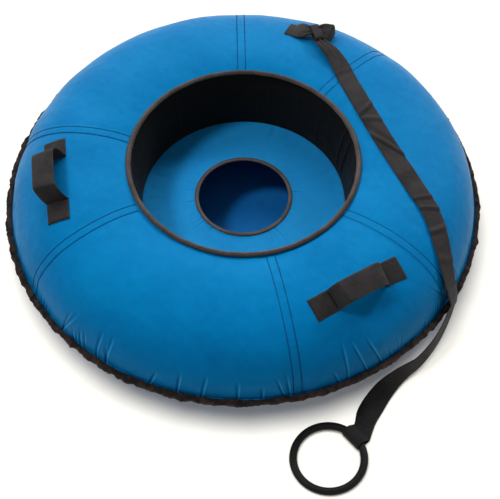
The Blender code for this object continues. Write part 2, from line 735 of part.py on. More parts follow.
def clear_of_cover(point):
    # Lifts a point off the cover's top, or out over the edge of the hem
    radius = math.hypot(point.x, point.y)
    if radius < COVER_RADIUS:
        top = cover_top(radius) + STRAP_LIFT
        if SEAM_HEIGHT < point.z < top:
            point.z = top
    beyond = max(0.0, abs(point.z - SEAM_HEIGHT) - HEM_HEIGHT_KEPT_CLEAR)
    least = HEM_REACH + CLEARANCE - HEM_DRAPE_SHARE * beyond
    if abs(point.z - SEAM_HEIGHT) < HEM_DRAPE_HEIGHT and radius < least:
        point.x *= least / radius
        point.y *= least / radius
    return point


def strap_rows():
    # Rows across the strap's under face. It is gathered where it leaves the hitch, and at the
    # other end it turns skew until it is square to the eye's tail.
    hitch = hitch_frame()
    ring, out, _ = eye_axis()
    start = hitch @ Vector((HITCH_HALF_LENGTH + WEBBING_THICKNESS + CLEARANCE, 0.0, 0.0))
    end = ring + out * (EYE_TAIL_REACH + CLEARANCE) - Vector((0.0, 0.0, EYE_TAIL_DROP))
    eye_side = Vector((0.0, 0.0, 1.0)).cross(out)
    route = [start] + [Vector(point) for point in STRAP_ROUTE] + [end]
    faces = [cover_face(point) for point in route[:STRAP_HANGS_FROM]]
    faces += [Vector(face).normalized() for face in STRAP_FACES]
    centres = smooth_route(route, STRAP_STEPS_PER_POINT)
    looks = smooth_route(faces, STRAP_STEPS_PER_POINT)
    final = len(centres) - 1
    rows = []
    for index, centre in enumerate(centres):
        ahead = centres[min(index + 1, final)] - centres[max(index - 1, 0)]
        side = ahead.cross(looks[index]).normalized()
        skew = max(0.0, 1 - (final - index) / STRAP_SKEWED_ROWS)
        side = side.lerp(eye_side, skew).normalized()
        if index == 0:
            side = hitch.col[2].xyz
        look = side.cross(ahead).normalized()
        spread = min(1.0, index / STRAP_GATHERED_ROWS)
        width = HITCH_WIDTH + (WEBBING_WIDTH - HITCH_WIDTH) * spread
        row = []
        for share in (-0.5, 0.0, 0.5):
            point = centre + side * (width * share) - look * (WEBBING_THICKNESS / 2)
            row.append(tuple(clear_of_cover(point)))
        rows.append(row)
    return rows


def add_strap(material, collection):
    obj = grid_object("tow_strap", strap_rows(), material, collection)
    solidify(obj, WEBBING_THICKNESS, True)
    return obj


def main():
    clear_scene()
    parts = make_collection("snow_tube", False)
    cutters = make_collection("cutters", True)
    blue = make_material("blue_cloth", BLUE, 0.62)
    webbing = make_material("webbing", BLACK_WEBBING, 0.80)
    wall = make_material("wall_cloth", WALL_BLACK, 0.72)
    rubber = make_material("rubber", RUBBER_BLACK, 0.60)
    plastic = make_material("black_plastic", RING_BLACK, 0.28)
    brass = make_material("brass", BRASS, 0.35, 1.0)

    add_inner_tube(rubber, parts, cutters)
    add_valve(rubber, brass, plastic, parts, cutters)
    add_panels(blue, parts)
    bottom = turned("bottom_cover", bottom_line(), COVER_FACETS, blue, parts)
    solidify(bottom, BOTTOM_CLOTH, True)
    inner_wall = turned("inner_wall", wall_line(), WALL_FACETS, wall, parts)
    solidify(inner_wall, COVER_CLOTH, False)
    seat = turned("seat_disc", seat_line(), WALL_FACETS, blue, parts)
    solidify(seat, COVER_CLOTH, True)
    add_bindings(webbing, parts)
    add_handles(webbing, parts)
    add_hitch(webbing, parts)
    add_strap(webbing, parts)
    add_ring_eye(webbing, parts)
    add_ring(plastic, parts)


main()
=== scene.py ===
import math

import bmesh
import bpy
import numpy as np
from mathutils import Matrix, Vector


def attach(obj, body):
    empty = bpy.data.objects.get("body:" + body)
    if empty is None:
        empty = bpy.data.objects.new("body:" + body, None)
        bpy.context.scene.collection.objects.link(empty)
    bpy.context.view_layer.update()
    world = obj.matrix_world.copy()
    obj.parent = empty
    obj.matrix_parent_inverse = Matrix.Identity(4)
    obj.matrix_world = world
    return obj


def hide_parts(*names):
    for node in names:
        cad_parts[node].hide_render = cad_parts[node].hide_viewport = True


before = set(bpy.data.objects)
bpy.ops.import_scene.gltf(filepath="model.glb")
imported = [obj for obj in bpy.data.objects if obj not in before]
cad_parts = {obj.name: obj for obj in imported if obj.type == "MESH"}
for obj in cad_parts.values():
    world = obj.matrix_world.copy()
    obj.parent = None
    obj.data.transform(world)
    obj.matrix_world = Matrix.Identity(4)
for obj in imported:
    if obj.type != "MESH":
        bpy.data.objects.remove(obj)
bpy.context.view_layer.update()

# The looks of a snow tube: an inflated ring in a sewn nylon cover, with webbing handles, a tow strap
# and a ring. Metres, +Z up, the origin on the floor under the middle, +Y to the back.
scene = bpy.context.scene
print("snow tube: the packed solids are in place")

# The camera was fitted to the photograph by its round openings and the ring.
camera = {"place": (0.01597, -1.95951, 2.75851), "lookDown": 0.971286, "roll": 0.0062214,
          "focalPixels": 1386.73, "imageWidth": 500, "sensor": 36, "clip": (0.1, 50)}


def addObject(name, data):
    made = bpy.data.objects.new(name, data)
    scene.collection.objects.link(made)
    return made


def addCamera():
    down, roll = camera["lookDown"], camera["roll"]
    right = Vector((1, 0, 0))
    up = Vector((0, math.sin(down), math.cos(down)))
    rolledRight = math.cos(roll) * right + math.sin(roll) * up
    rolledUp = math.cos(roll) * up - math.sin(roll) * right
    turn = Matrix((rolledRight, rolledUp, rolledRight.cross(rolledUp))).transposed().to_4x4()
    lens = bpy.data.cameras.new("camera")
    lens.sensor_width = camera["sensor"]
    lens.lens = camera["focalPixels"] / camera["imageWidth"] * lens.sensor_width
    lens.clip_start, lens.clip_end = camera["clip"]
    eye = addObject("camera", lens)
    eye.matrix_world = Matrix.Translation(camera["place"]) @ turn
    scene.camera = eye


# The sewn cover: its outer face is the solids' own. Seams are azimuths in degrees, and zone holds
# the columns beside a seam. A fin is what is turned into a binding.
cover = {"rim": 0.543, "seam": 0.114, "crown": 0.330, "crownHeight": 0.262, "mouth": 0.268,
         "mouthDrop": 0.009, "shoulderPower": 2.1, "floorOuter": 0.420, "cloth": 0.00054,
         "seams": (47.5, 91.4, 167.5, 209.8, 282.9, 327.3), "lapLift": 0.0007, "lapEdge": (-0.0147, -0.0113),
         "zone": (-0.0107, -0.010, -0.0093, -0.0086, -0.0062, -0.003, 0.001, 0.005, 0.0086, 0.0093,
                  0.010, 0.0107, 0.0119, 0.0137, 0.0157),
         "columnStep": 0.0017, "rows": 80, "rowPower": 1.35, "innerSteps": 60, "outerSteps": 400,
         "mouthFin": (0.0075, 0.0035), "hemFin": ((0.0035, 0.0012), (0.0060, 0.0013), (0.0085, 0.0013)),
         "stitchAside": 0.0093, "stitchSpacing": 0.0040, "thread": 0.0011, "threadLift": 0.0003,
         "stitchRows": 160, "stitchEnds": (2, -3)}
webbing = {"width": 0.051, "thick": 0.0023, "roundEdges": 0.002, "edgeShare": 0.42, "rimShare": 0.72,
           "threadLift": 0.0001}


def coverTop(radius):
    # height of the cover's outer face over the floor
    radius = np.asarray(radius, float)
    inner = cover["crownHeight"] - cover["mouthDrop"] * (
        (cover["crown"] - radius) / (cover["crown"] - cover["mouth"])) ** 2
    share = np.clip((radius - cover["crown"]) / (cover["rim"] - cover["crown"]), 0, 1)
    power = cover["shoulderPower"]
    outer = cover["seam"] + (cover["crownHeight"] - cover["seam"]) * (1 - share ** power) ** (1 / power)
    return np.where(radius <= cover["crown"], inner, outer)


def coverFace(point):
    # the way the cover's outer face looks at a place on its top
    radius, step = math.hypot(point[0], point[1]), 0.001
    slope = float(coverTop(radius + step) - coverTop(radius - step)) / (2 * step)
    return unit(np.array((-slope * point[0] / radius, -slope * point[1] / radius, 1.0)))


# Tools for points
def unit(vectors):
    vectors = np.asarray(vectors, float)
    return vectors / np.maximum(np.linalg.norm(vectors, axis=-1, keepdims=True), 1e-12)


def ease(value, low=0.0, high=1.0):
    share = np.clip((np.asarray(value, float) - low) / (high - low), 0, 1)
    return share * share * (3 - 2 * share)


def hill(aside, wide=1.0):
    # 1 in the middle of a smooth hill, and 0 well past its width
    return np.exp(-(aside / wide) ** 2)


def smoothRoute(points, steps):
    # a curve that runs through every point
    points = np.asarray(points, float)
    ends = np.vstack([2 * points[0] - points[1], points, 2 * points[-1] - points[-2]])
    curve = []
    for before, here, after, later in zip(ends[:-3], ends[1:-2], ends[2:-1], ends[3:]):
        for t in np.arange(steps) / steps:
            curve.append(0.5 * (2 * here + (after - before) * t
                                + (2 * before - 5 * here + 4 * after - later) * t ** 2
                                + (3 * here - before - 3 * after + later) * t ** 3))
    return np.array(curve + [points[-1]])


def distances(line):
    return np.concatenate([[0], np.cumsum(np.linalg.norm(np.diff(line, axis=0), axis=1))])


def directions(line):
    return unit(np.gradient(line, axis=0))


def turned(radius, height, azimuth):
    # points about the vertical axis; azimuth in radians
    radius, height, azimuth = np.broadcast_arrays(radius, height, azimuth)
    return np.stack([radius * np.cos(azimuth), radius * np.sin(azimuth), height], axis=-1)


def wayAt(degrees):
    # a way in a plane, and the way across it
    angle = math.radians(degrees)
    return np.array((math.cos(angle), math.sin(angle))), np.array((-math.sin(angle), math.cos(angle)))


def gridNormals(points):
    # the way that a grid looks whose rows run one way and whose columns the other
    return unit(np.cross(np.gradient(points, axis=0), np.gradient(points, axis=1)))


def fullTurn(steps):
    return np.linspace(0, math.tau, steps, endpoint=False)


def wrapped(turn):
    return (turn + math.pi) % math.tau - math.pi


def unevenness(seed, harmonics, count):
    # a closed wavy line about 0, up to about 1 high, as a function of azimuth
    rng = np.random.default_rng(seed)
    waves = [(int(rng.integers(*harmonics)), rng.uniform(0, math.tau)) for _ in range(count)]
    return lambda azimuth: sum(np.sin(k * azimuth + phase) for k, phase in waves) / math.sqrt(count)


def lumps(seed, spacing, width, around, count=8192):
    # uneven lumps on a closed line of the given length, about -1 to 1 high, as a function of azimuth
    rng = np.random.default_rng(seed)
    turn = fullTurn(count)
    table, place = np.zeros(count), 0.0
    while place < around:
        wide = width * rng.uniform(0.6, 1.5)
        aside = wrapped(turn - place / around * math.tau) * around / math.tau
        table += rng.uniform(-1, 1) * hill(aside, wide)
        place += spacing * rng.uniform(0.4, 1.6)
    return lambda azimuth: np.interp(azimuth, turn, table, period=math.tau)


def softWaves(seed, shortest, longest, count):
    # a gentle uneven height over places in space
    rng = np.random.default_rng(seed)
    ways = unit(rng.normal(size=(count, 3))) * (math.tau / rng.uniform(shortest, longest, count))[:, None]
    phases = rng.uniform(0, math.tau, count)
    return lambda points: np.sin(points @ ways.T + phases).sum(axis=-1) / math.sqrt(count)


# Tools for meshes
def meshObject(name, points, faces, material, uvs=None):
    # uvs has one pair for each corner of each face
    mesh = bpy.data.meshes.new(name)
    mesh.from_pydata(np.asarray(points, float).tolist(), [], np.asarray(faces).tolist())
    if uvs is not None:
        layer = mesh.uv_layers.new(name="cut")
        layer.data.foreach_set("uv", np.asarray(uvs, np.float32).ravel())
    mesh.shade_smooth()
    mesh.materials.append(material)
    return addObject(name, mesh)


def looksOut(points, faces):
    # whether the faces of a closed shape look outward
    points = points - points.mean(axis=0)
    a, b, c, d = (points[faces[:, k]] for k in range(4))
    return (a * np.cross(b, c)).sum() + (a * np.cross(c, d)).sum() > 0


def sleeve(name, rings, flat, material, closedAlong=False, crease=None):
    # A closed skin through rings of points. rings: along x around x 3, flat: the same grid's place
    # on the cut cloth in metres, with one more column, and one more row where the rings close up.
    # crease is 1 on a raised fold and -1 in a groove.
    along, around = rings.shape[:2]
    rows = np.arange(along if closedAlong else along - 1)[:, None]
    columns = np.arange(around)[None, :]
    nextRow, nextColumn = (rows + 1) % along, (columns + 1) % around
    faces = np.stack(np.broadcast_arrays(rows * around + columns, rows * around + nextColumn,
                                         nextRow * around + nextColumn, nextRow * around + columns),
                     axis=-1).reshape(-1, 4)
    count = rows.size
    corners = np.stack([flat[:count, :-1], flat[:count, 1:], flat[1:count + 1, 1:],
                        flat[1:count + 1, :-1]], axis=2).reshape(-1, 4, 2)
    if not closedAlong:
        # strips across the first and last ring, which are flat loops with an even count of points
        first = np.arange(around // 2 - 1)
        strips = np.stack([first, first + 1, around - 2 - first, around - 1 - first], axis=1)
        for row, step in ((0, -1), (along - 1, 1)):
            faces = np.concatenate([faces, (row * around + strips)[:, ::step]])
            corners = np.concatenate([corners, flat[row, strips][:, ::step]])
    points = rings.reshape(-1, 3)
    if not looksOut(points, faces):
        faces, corners = faces[:, ::-1], corners[:, ::-1]
    made = meshObject(name, points, faces, material, corners)
    if crease is not None:
        mark = made.data.attributes.new("crease", "FLOAT", "POINT")
        mark.data.foreach_set("value", np.asarray(crease, np.float32).ravel())
    return made


def slab(name, middle, looks, sides, flat=None, closedAlong=False, crease=None):
    # Webbing through a grid of points in the middle of its thickness, with rounded edges
    thick, edge = webbing["thick"], webbing["thick"] * webbing["edgeShare"]
    rim = np.ones(middle.shape[1])
    rim[[0, -1]] = webbing["rimShare"]
    drop = looks * (thick / 2) * rim[None, :, None]
    top, under = middle + drop, middle - drop
    ends = [middle[:, -1:] + sides[:, -1:] * edge, middle[:, :1] - sides[:, :1] * edge]
    rings = np.concatenate([top, ends[0], under[:, ::-1], ends[1]], axis=1)
    if flat is None:
        along = distances(middle[:, middle.shape[1] // 2])
        steps = np.linalg.norm(np.diff(middle, axis=1), axis=2)
        across = np.concatenate([np.zeros((len(middle), 1)), np.cumsum(steps, axis=1)], axis=1)
        across -= across[:, -1:] / 2
        flat = np.stack([np.broadcast_to(along[:, None], across.shape), across], axis=-1)
        if closedAlong:
            flat = np.concatenate([flat, flat[:1] + [along[-1] + along[1], 0]])
    flatRing = np.concatenate([flat, flat[:, -1:] + [0, edge], flat[:, ::-1], flat[:, :1] - [0, edge],
                               flat[:, :1]], axis=1)
    if crease is not None:
        crease = np.concatenate([crease, crease[:, -1:], np.zeros_like(crease), crease[:, :1]], axis=1)
    return sleeve(name, rings, flatRing, finishes["webbing"], closedAlong, crease)


def band(name, line, sides, looks, widths, across, bulge=None):
    # Webbing along a line. bulge(along, aside) gives its lift off the line, and its creases.
    along = distances(line)
    half = np.broadcast_to(np.asarray(widths, float), (len(line),))[:, None] / 2
    aside = np.linspace(-1, 1, across)[None, :] * (half - webbing["thick"] * webbing["edgeShare"])
    lift, crease = (np.zeros_like(aside), None) if bulge is None else bulge(along[:, None], aside)
    middle = line[:, None] + sides[:, None] * aside[..., None] + looks[:, None] * lift[..., None]
    wide = np.broadcast_to(sides[:, None], middle.shape)
    flat = np.stack(np.broadcast_arrays(along[:, None], aside), axis=-1)
    return slab(name, middle, looks[:, None], wide, flat, crease=crease)


def onGrid(grid, down, across):
    # a place on a grid of points, with both shares from 0 to 1
    last = np.array(grid.shape[:2]) - 1
    i, j = np.clip((down, across) * last, 0, last - 1e-6)
    a, b = int(i), int(j)
    i, j = i - a, j - b
    return ((grid[a, b] * (1 - i) + grid[a + 1, b] * i) * (1 - j)
            + (grid[a, b + 1] * (1 - i) + grid[a + 1, b + 1] * i) * j)


# Shader and geometry nodes
def fill(tree, node, values):
    # sets a node's inputs, or links those that are given a socket
    for key, value in values.items():
        socket = node.inputs[key]
        if isinstance(value, bpy.types.NodeSocket):
            tree.links.new(value, socket)
        else:
            socket.default_value = (*value, 1.0) if socket.type == "RGBA" and len(value) == 3 else value


def addNode(tree, kind, values=None, **settings):
    # gives the new node's outputs
    made = tree.nodes.new(kind if "Node" in kind else "ShaderNode" + kind)
    for key, value in settings.items():
        setattr(made, key, value)
    fill(tree, made, values or {})
    return made.outputs


def maths(tree, operation, *values):
    return addNode(tree, "Math", dict(enumerate(values)), operation=operation)[0]


def sineOf(tree, halfTurns):
    return maths(tree, "SINE", maths(tree, "MULTIPLY", halfTurns, math.pi))


def noise(tree, place, scale, detail, distortion=0.0):
    values = {"Vector": place, "Scale": scale, "Detail": detail, "Distortion": distortion}
    return addNode(tree, "TexNoise", values)[0]


def mixColours(tree, share, first, second, blend="MIX"):
    return addNode(tree, "Mix", {0: share, 6: first, 7: second}, data_type="RGBA", blend_type=blend)[2]


def bumped(tree, height, strength, distance, normal=None):
    values = {"Height": height, "Strength": strength, "Distance": distance}
    return addNode(tree, "Bump", values if normal is None else {**values, "Normal": normal})[0]


def remapped(tree, value, low, high, newLow, newHigh):
    return addNode(tree, "MapRange", {"Value": value, "From Min": low, "From Max": high,
                                      "To Min": newLow, "To Max": newHigh})[0]


def newGroup(name, inputs, outputs, kind="ShaderNodeTree"):
    tree = bpy.data.node_groups.new(name, kind)
    for label, sort, value in inputs:
        socket = tree.interface.new_socket(label, in_out="INPUT", socket_type="NodeSocket" + sort)
        if value is not None:
            socket.default_value = value
    for label, sort in outputs:
        tree.interface.new_socket(label, in_out="OUTPUT", socket_type="NodeSocket" + sort)
    return tree, tree.nodes.new("NodeGroupInput").outputs, tree.nodes.new("NodeGroupOutput").inputs


def givenOut(tree, out, *values):
    for socket, value in zip(out, values):
        tree.links.new(value, socket)
    return tree


def makeClothWeave():
    # plain weave: threads that pass over and under each other
    tree, given, out = newGroup("cloth weave", [("Place", "Vector", None), ("Thread", "Float", 0.0007)],
                                [("Height", "Float"), ("Shade", "Float")])
    parts = addNode(tree, "SeparateXYZ", {"Vector": given["Place"]})
    waves = [sineOf(tree, maths(tree, "DIVIDE", part, given["Thread"])) for part in parts[:2]]
    over = maths(tree, "MULTIPLY", *waves)
    warp, weft = (maths(tree, "MULTIPLY", maths(tree, "ABSOLUTE", wave),
                        maths(tree, "MULTIPLY_ADD", over, side, 0.5))
                  for wave, side in zip(waves, (0.5, -0.5)))
    height = maths(tree, "MAXIMUM", warp, weft)
    return givenOut(tree, out, height, maths(tree, "MULTIPLY_ADD", height, 0.35, 0.75))


def makeWebbingWeave():
    # heavy webbing: columns of beads, each set half a bead on from its neighbour
    tree, given, out = newGroup("webbing weave", [("Place", "Vector", None), ("Rib", "Float", 0.0034),
                                                  ("Bead", "Float", 0.0026)],
                                [("Height", "Float"), ("Shade", "Float")])
    parts = addNode(tree, "SeparateXYZ", {"Vector": given["Place"]})
    column = maths(tree, "DIVIDE", parts[1], given["Rib"])
    across = maths(tree, "ABSOLUTE", sineOf(tree, column))
    along = maths(tree, "MULTIPLY_ADD", maths(tree, "FLOOR", column), 0.5,
                  maths(tree, "DIVIDE", parts[0], given["Bead"]))
    bead = maths(tree, "MULTIPLY_ADD", maths(tree, "ABSOLUTE", sineOf(tree, along)), 0.6, 0.4)
    height = maths(tree, "MULTIPLY", maths(tree, "POWER", across, 0.5), bead)
    return givenOut(tree, out, height, maths(tree, "MULTIPLY_ADD", height, 0.6, 0.5))


def makeColourDrift():
    # large and small uneven patches, about 0.5
    tree, given, out = newGroup("colour drift", [("Place", "Vector", None), ("Size", "Float", 0.1),
                                                 ("Strength", "Float", 0.5)], [("Mask", "Float")])
    scale = maths(tree, "DIVIDE", 1.0, given["Size"])
    large = noise(tree, given["Place"], scale, 3.0)
    small = noise(tree, given["Place"], maths(tree, "MULTIPLY", scale, 9.0), 2.0)
    both = maths(tree, "MULTIPLY_ADD", small, 0.35, maths(tree, "MULTIPLY", large, 0.65))
    drift = maths(tree, "MULTIPLY", maths(tree, "SUBTRACT", both, 0.5), given["Strength"])
    return givenOut(tree, out, maths(tree, "MULTIPLY_ADD", drift, 2.0, 0.5))


def makeScuffs():
    # fine scratches that run two ways, 0 where there is none
    tree, given, out = newGroup("scuffs", [("Place", "Vector", None), ("Scale", "Float", 60.0)],
                                [("Mask", "Float")])
    masks = []
    for angle in (0.4, 1.7):
        place = addNode(tree, "Mapping", {"Vector": given["Place"], "Rotation": (0.3, angle, angle),
                                          "Scale": (1.0, 0.06, 1.0)})[0]
        masks.append(maths(tree, "GREATER_THAN", noise(tree, place, given["Scale"], 4.0), 0.66))
    return givenOut(tree, out, maths(tree, "MAXIMUM", *masks))


clothWeave, webbingWeave = makeClothWeave(), makeWebbingWeave()
colourDrift, scuffs = makeColourDrift(), makeScuffs()


# What all materials of a kind share. patches are their size and strength, a bump is its strength and
# depth, fuzz has its noise's scale before them, and a fold's values say how strongly a crease shows as
# a painted highlight on its ridge and painted shade in its groove.
foldHighlightAndShade = {"ridge": (0.12, 0.8, 0.0, 0.80), "groove": (-0.12, -0.9, 0.0, 0.65)}
driftRange = (0.2, 0.8)
clothGrain = {"patches": (0.16, 1.3), "roughAbout": 0.05, "wrinkleScale": 55.0, "weaveBump": 0.7,
              "sheenRough": 0.5, "ridgeHighlight": (1.8, 0.03), "grooveShade": 0.4}
# snow holds the heights over which the webbing's painted shade near the floor fades out
tapeGrain = {"rough": (0.78, 0.62), "fuzz": (900.0, 0.5, 0.0002), "weaveBump": (0.8, 0.0006),
             "sheenRough": 0.5, "tint": (0.75, 0.72, 0.72), "ior": 1.25, "wornFrom": 0.0035, "wornTo": 0.0005,
             "worn": (0.5, 1.7), "snow": (0.06, 0.20), "ridgeHighlight": 1.9, "grooveShade": 0.3}
threadGrain = {"scale": 1400.0, "light": 2.2, "rough": (0.45, 0.7), "bump": (0.6, 0.0002), "specular": 0.15}
mouldGrain = {"patches": (0.04, 1.0), "scuffScale": 70.0, "scuffLight": 2.5, "scuffRough": 0.15,
              "grainScale": 450.0, "grainBump": 0.35}


def newMaterial(name):
    material = bpy.data.materials.new(name)
    material.use_nodes = True
    tree = material.node_tree
    return material, tree, tree.nodes["Principled BSDF"]


def onCut(tree):
    # a place on the flat cut, in metres
    return addNode(tree, "UVMap", uv_map="cut")[0]


def inSpace(tree):
    return addNode(tree, "TexCoord")["Object"]


def useGroup(tree, group, **values):
    return addNode(tree, "Group", values, node_tree=group)


def driftMask(tree, place, size, strength):
    return useGroup(tree, colourDrift, Place=place, Size=size, Strength=strength)[0]


def roughFrom(tree, drift, low, high):
    # roughness that follows the patches
    return remapped(tree, drift, *driftRange, low, high)


def scaled(colour, factor, more=0.0):
    return tuple(factor * part + more for part in colour)


def creased(tree, colour, light, dark):
    # painted highlight on each fold's ridge and painted shade in its groove
    crease = addNode(tree, "Attribute", attribute_name="crease")["Fac"]
    colour = mixColours(tree, remapped(tree, crease, *foldHighlightAndShade["ridge"]), colour, light)
    return mixColours(tree, remapped(tree, crease, *foldHighlightAndShade["groove"]), colour, dark)


def clothMaterial(name, colours, rough, thread, depth, wrinkles, sheen, tint, ior):
    # Woven nylon, read off the flat cut. depth is the weave's, and wrinkles that of its fine creases.
    material, tree, shader = newMaterial(name)
    flat, place = onCut(tree), inSpace(tree)
    weave = useGroup(tree, clothWeave, Place=flat, Thread=thread)
    drift = driftMask(tree, place, *clothGrain["patches"])
    # the colours of the painted highlight on a ridge and the painted shade in a groove
    ridgeHighlight = tuple(np.minimum(scaled(colours[1], *clothGrain["ridgeHighlight"]), 1.0))
    grooveShade = scaled(colours[0], clothGrain["grooveShade"])
    colour = creased(tree, mixColours(tree, drift, *colours), ridgeHighlight, grooveShade)
    fine = bumped(tree, noise(tree, place, clothGrain["wrinkleScale"], 4.0, 0.6), 1.0, wrinkles)
    about = clothGrain["roughAbout"]
    fill(tree, shader, {
        "Base Color": mixColours(tree, 1.0, colour, weave["Shade"], "MULTIPLY"),
        "Roughness": roughFrom(tree, drift, rough + about, rough - about),
        "Normal": bumped(tree, weave["Height"], clothGrain["weaveBump"], depth, fine),
        "Sheen Weight": sheen, "Sheen Roughness": clothGrain["sheenRough"], "Sheen Tint": tint,
        "IOR": ior, "Specular Tint": tint})
    return material


def webbingMaterial(name, colours, rib, bead, uneven, halfWidth=0.0, sheen=0.10, lowShade=1.0, patch=0.05):
    # Woven polyester tape, with paler worn edges where halfWidth is given. lowShade is painted shade that
    # darkens what lies low by the floor, and patch and uneven say how large and how strong its mottling is.
    material, tree, shader = newMaterial(name)
    flat, place = onCut(tree), inSpace(tree)
    weave = useGroup(tree, webbingWeave, Place=flat, Rib=rib, Bead=bead)
    drift = driftMask(tree, place, patch, uneven)
    colour, (dark, light) = mixColours(tree, drift, *colours), colours
    if halfWidth:
        aside = maths(tree, "ABSOLUTE", addNode(tree, "SeparateXYZ", {"Vector": flat})[1])
        start, end = (halfWidth - tapeGrain[key] for key in ("wornFrom", "wornTo"))
        rim = remapped(tree, aside, start, end, 0.0, 1.0)
        share, paler = tapeGrain["worn"]
        worn = maths(tree, "MULTIPLY", rim, maths(tree, "MULTIPLY", drift, share))
        colour = mixColours(tree, worn, colour, scaled(light, paler))
    # painted shade: darker towards the floor
    if lowShade < 1:
        height = addNode(tree, "SeparateXYZ", {"Vector": place})[2]
        shade = remapped(tree, height, *tapeGrain["snow"], lowShade, 1.0)
        colour = mixColours(tree, 1.0, colour, shade, "MULTIPLY")
    # painted highlight on each fold's ridge and painted shade in its groove
    colour = creased(tree, colour, scaled(light, tapeGrain["ridgeHighlight"]), scaled(dark, tapeGrain["grooveShade"]))
    scale, strength, deep = tapeGrain["fuzz"]
    fuzz = bumped(tree, noise(tree, place, scale, 2.0), strength, deep)
    fill(tree, shader, {
        "Base Color": mixColours(tree, 1.0, colour, weave["Shade"], "MULTIPLY"),
        "Roughness": roughFrom(tree, drift, *tapeGrain["rough"]),
        "Normal": bumped(tree, weave["Height"], *tapeGrain["weaveBump"], fuzz),
        "Sheen Weight": sheen, "Sheen Roughness": tapeGrain["sheenRough"], "Sheen Tint": tapeGrain["tint"],
        "IOR": tapeGrain["ior"]})
    return material


def threadMaterial(name, colour):
    material, tree, shader = newMaterial(name)
    twist = noise(tree, inSpace(tree), threadGrain["scale"], 1.0)
    fill(tree, shader, {"Base Color": mixColours(tree, twist, colour, scaled(colour, threadGrain["light"])),
                        "Roughness": remapped(tree, twist, 0.0, 1.0, *threadGrain["rough"]),
                        "Normal": bumped(tree, twist, *threadGrain["bump"]),
                        "Specular IOR Level": threadGrain["specular"]})
    return material


def mouldedMaterial(name, colours, rough, grain, worn, metallic=0.0, specular=0.5):
    # rubber, plastic or metal: grain, a slow change of colour, and scuffs that dull it
    material, tree, shader = newMaterial(name)
    place = inSpace(tree)
    drift = driftMask(tree, place, *mouldGrain["patches"])
    marks = useGroup(tree, scuffs, Place=place, Scale=mouldGrain["scuffScale"])[0]
    scuffed = mixColours(tree, maths(tree, "MULTIPLY", marks, worn), mixColours(tree, drift, *colours),
                         scaled(colours[1], mouldGrain["scuffLight"]))
    roughness = maths(tree, "MULTIPLY_ADD", marks, mouldGrain["scuffRough"], roughFrom(tree, drift, *rough))
    fine = noise(tree, place, mouldGrain["grainScale"], 3.0)
    fill(tree, shader, {"Base Color": scuffed, "Roughness": roughness,
                        "Normal": bumped(tree, fine, mouldGrain["grainBump"], grain),
                        "Metallic": metallic, "Specular IOR Level": specular})
    return material


# What a user would change of the finishes; the colours of each are a pair that its patches drift between.
cloths = {
    "blueCloth": {"colours": ((0.001, 0.168, 0.455), (0.002, 0.226, 0.562)), "rough": 0.45,
                  "thread": 0.0007, "depth": 0.00010, "wrinkles": 0.0006, "sheen": 0.06,
                  "tint": (0.0, 0.90, 1.0), "ior": 1.25},
    # seatCloth is the cover's blue nylon made paler: painted light on the seat in the well
    "seatCloth": {"colours": ((0.010, 0.235, 0.600), (0.015, 0.297, 0.690)), "rough": 0.50,
                  "thread": 0.0007, "depth": 0.00010, "wrinkles": 0.0005, "sheen": 0.08,
                  "tint": (0.10, 0.80, 1.0), "ior": 1.25},
    "bottomCloth": {"colours": ((0.006, 0.130, 0.420), (0.010, 0.175, 0.520)), "rough": 0.42,
                    "thread": 0.0009, "depth": 0.00015, "wrinkles": 0.0008, "sheen": 0.06,
                    "tint": (0.20, 0.55, 1.0), "ior": 1.2},
    "wallCloth": {"colours": ((0.004, 0.0042, 0.0040), (0.0075, 0.0078, 0.0074)), "rough": 0.62,
                  "thread": 0.0007, "depth": 0.00012, "wrinkles": 0.0006, "sheen": 0.03,
                  "tint": (0.6, 0.6, 0.6), "ior": 1.2}}
tapes = {
    "webbing": {"colours": ((0.0165, 0.0149, 0.0147), (0.032, 0.0288, 0.0286)), "rib": 0.0034,
                "bead": 0.0026, "halfWidth": 0.0255, "sheen": 0.03, "lowShade": 0.45, "uneven": 1.4},
    "binding": {"colours": ((0.074, 0.059, 0.054), (0.140, 0.112, 0.103)), "rib": 0.0022, "bead": 0.0018,
                "uneven": 1.6},
    "hemTape": {"colours": ((0.0016, 0.0014, 0.0016), (0.034, 0.020, 0.016)), "rib": 0.0022,
                "bead": 0.0018, "sheen": 0.0, "patch": 0.016, "uneven": 2.6}}
threads = {"navyThread": {"colour": (0.0005, 0.008, 0.050)}, "blackThread": {"colour": (0.006, 0.006, 0.006)}}
mouldings = {
    "rubber": {"colours": ((0.014, 0.014, 0.015), (0.026, 0.026, 0.028)), "rough": (0.55, 0.68),
               "grain": 0.0002, "worn": 0.10},
    "ring": {"colours": ((0.004, 0.004, 0.004), (0.008, 0.008, 0.008)), "rough": (0.42, 0.55),
             "grain": 0.00006, "worn": 0.12, "specular": 0.10},
    "brass": {"colours": ((0.52, 0.36, 0.13), (0.66, 0.47, 0.19)), "rough": (0.28, 0.42),
              "grain": 0.00005, "worn": 0.10, "metallic": 1.0},
    "capPlastic": {"colours": ((0.008, 0.008, 0.009), (0.014, 0.014, 0.015)), "rough": (0.35, 0.5),
                   "grain": 0.00008, "worn": 0.10}}
makers = ((clothMaterial, cloths), (webbingMaterial, tapes), (threadMaterial, threads),
          (mouldedMaterial, mouldings))
finishes = {name: make(name, **facts) for make, table in makers for name, facts in table.items()}
print("snow tube: materials are made")


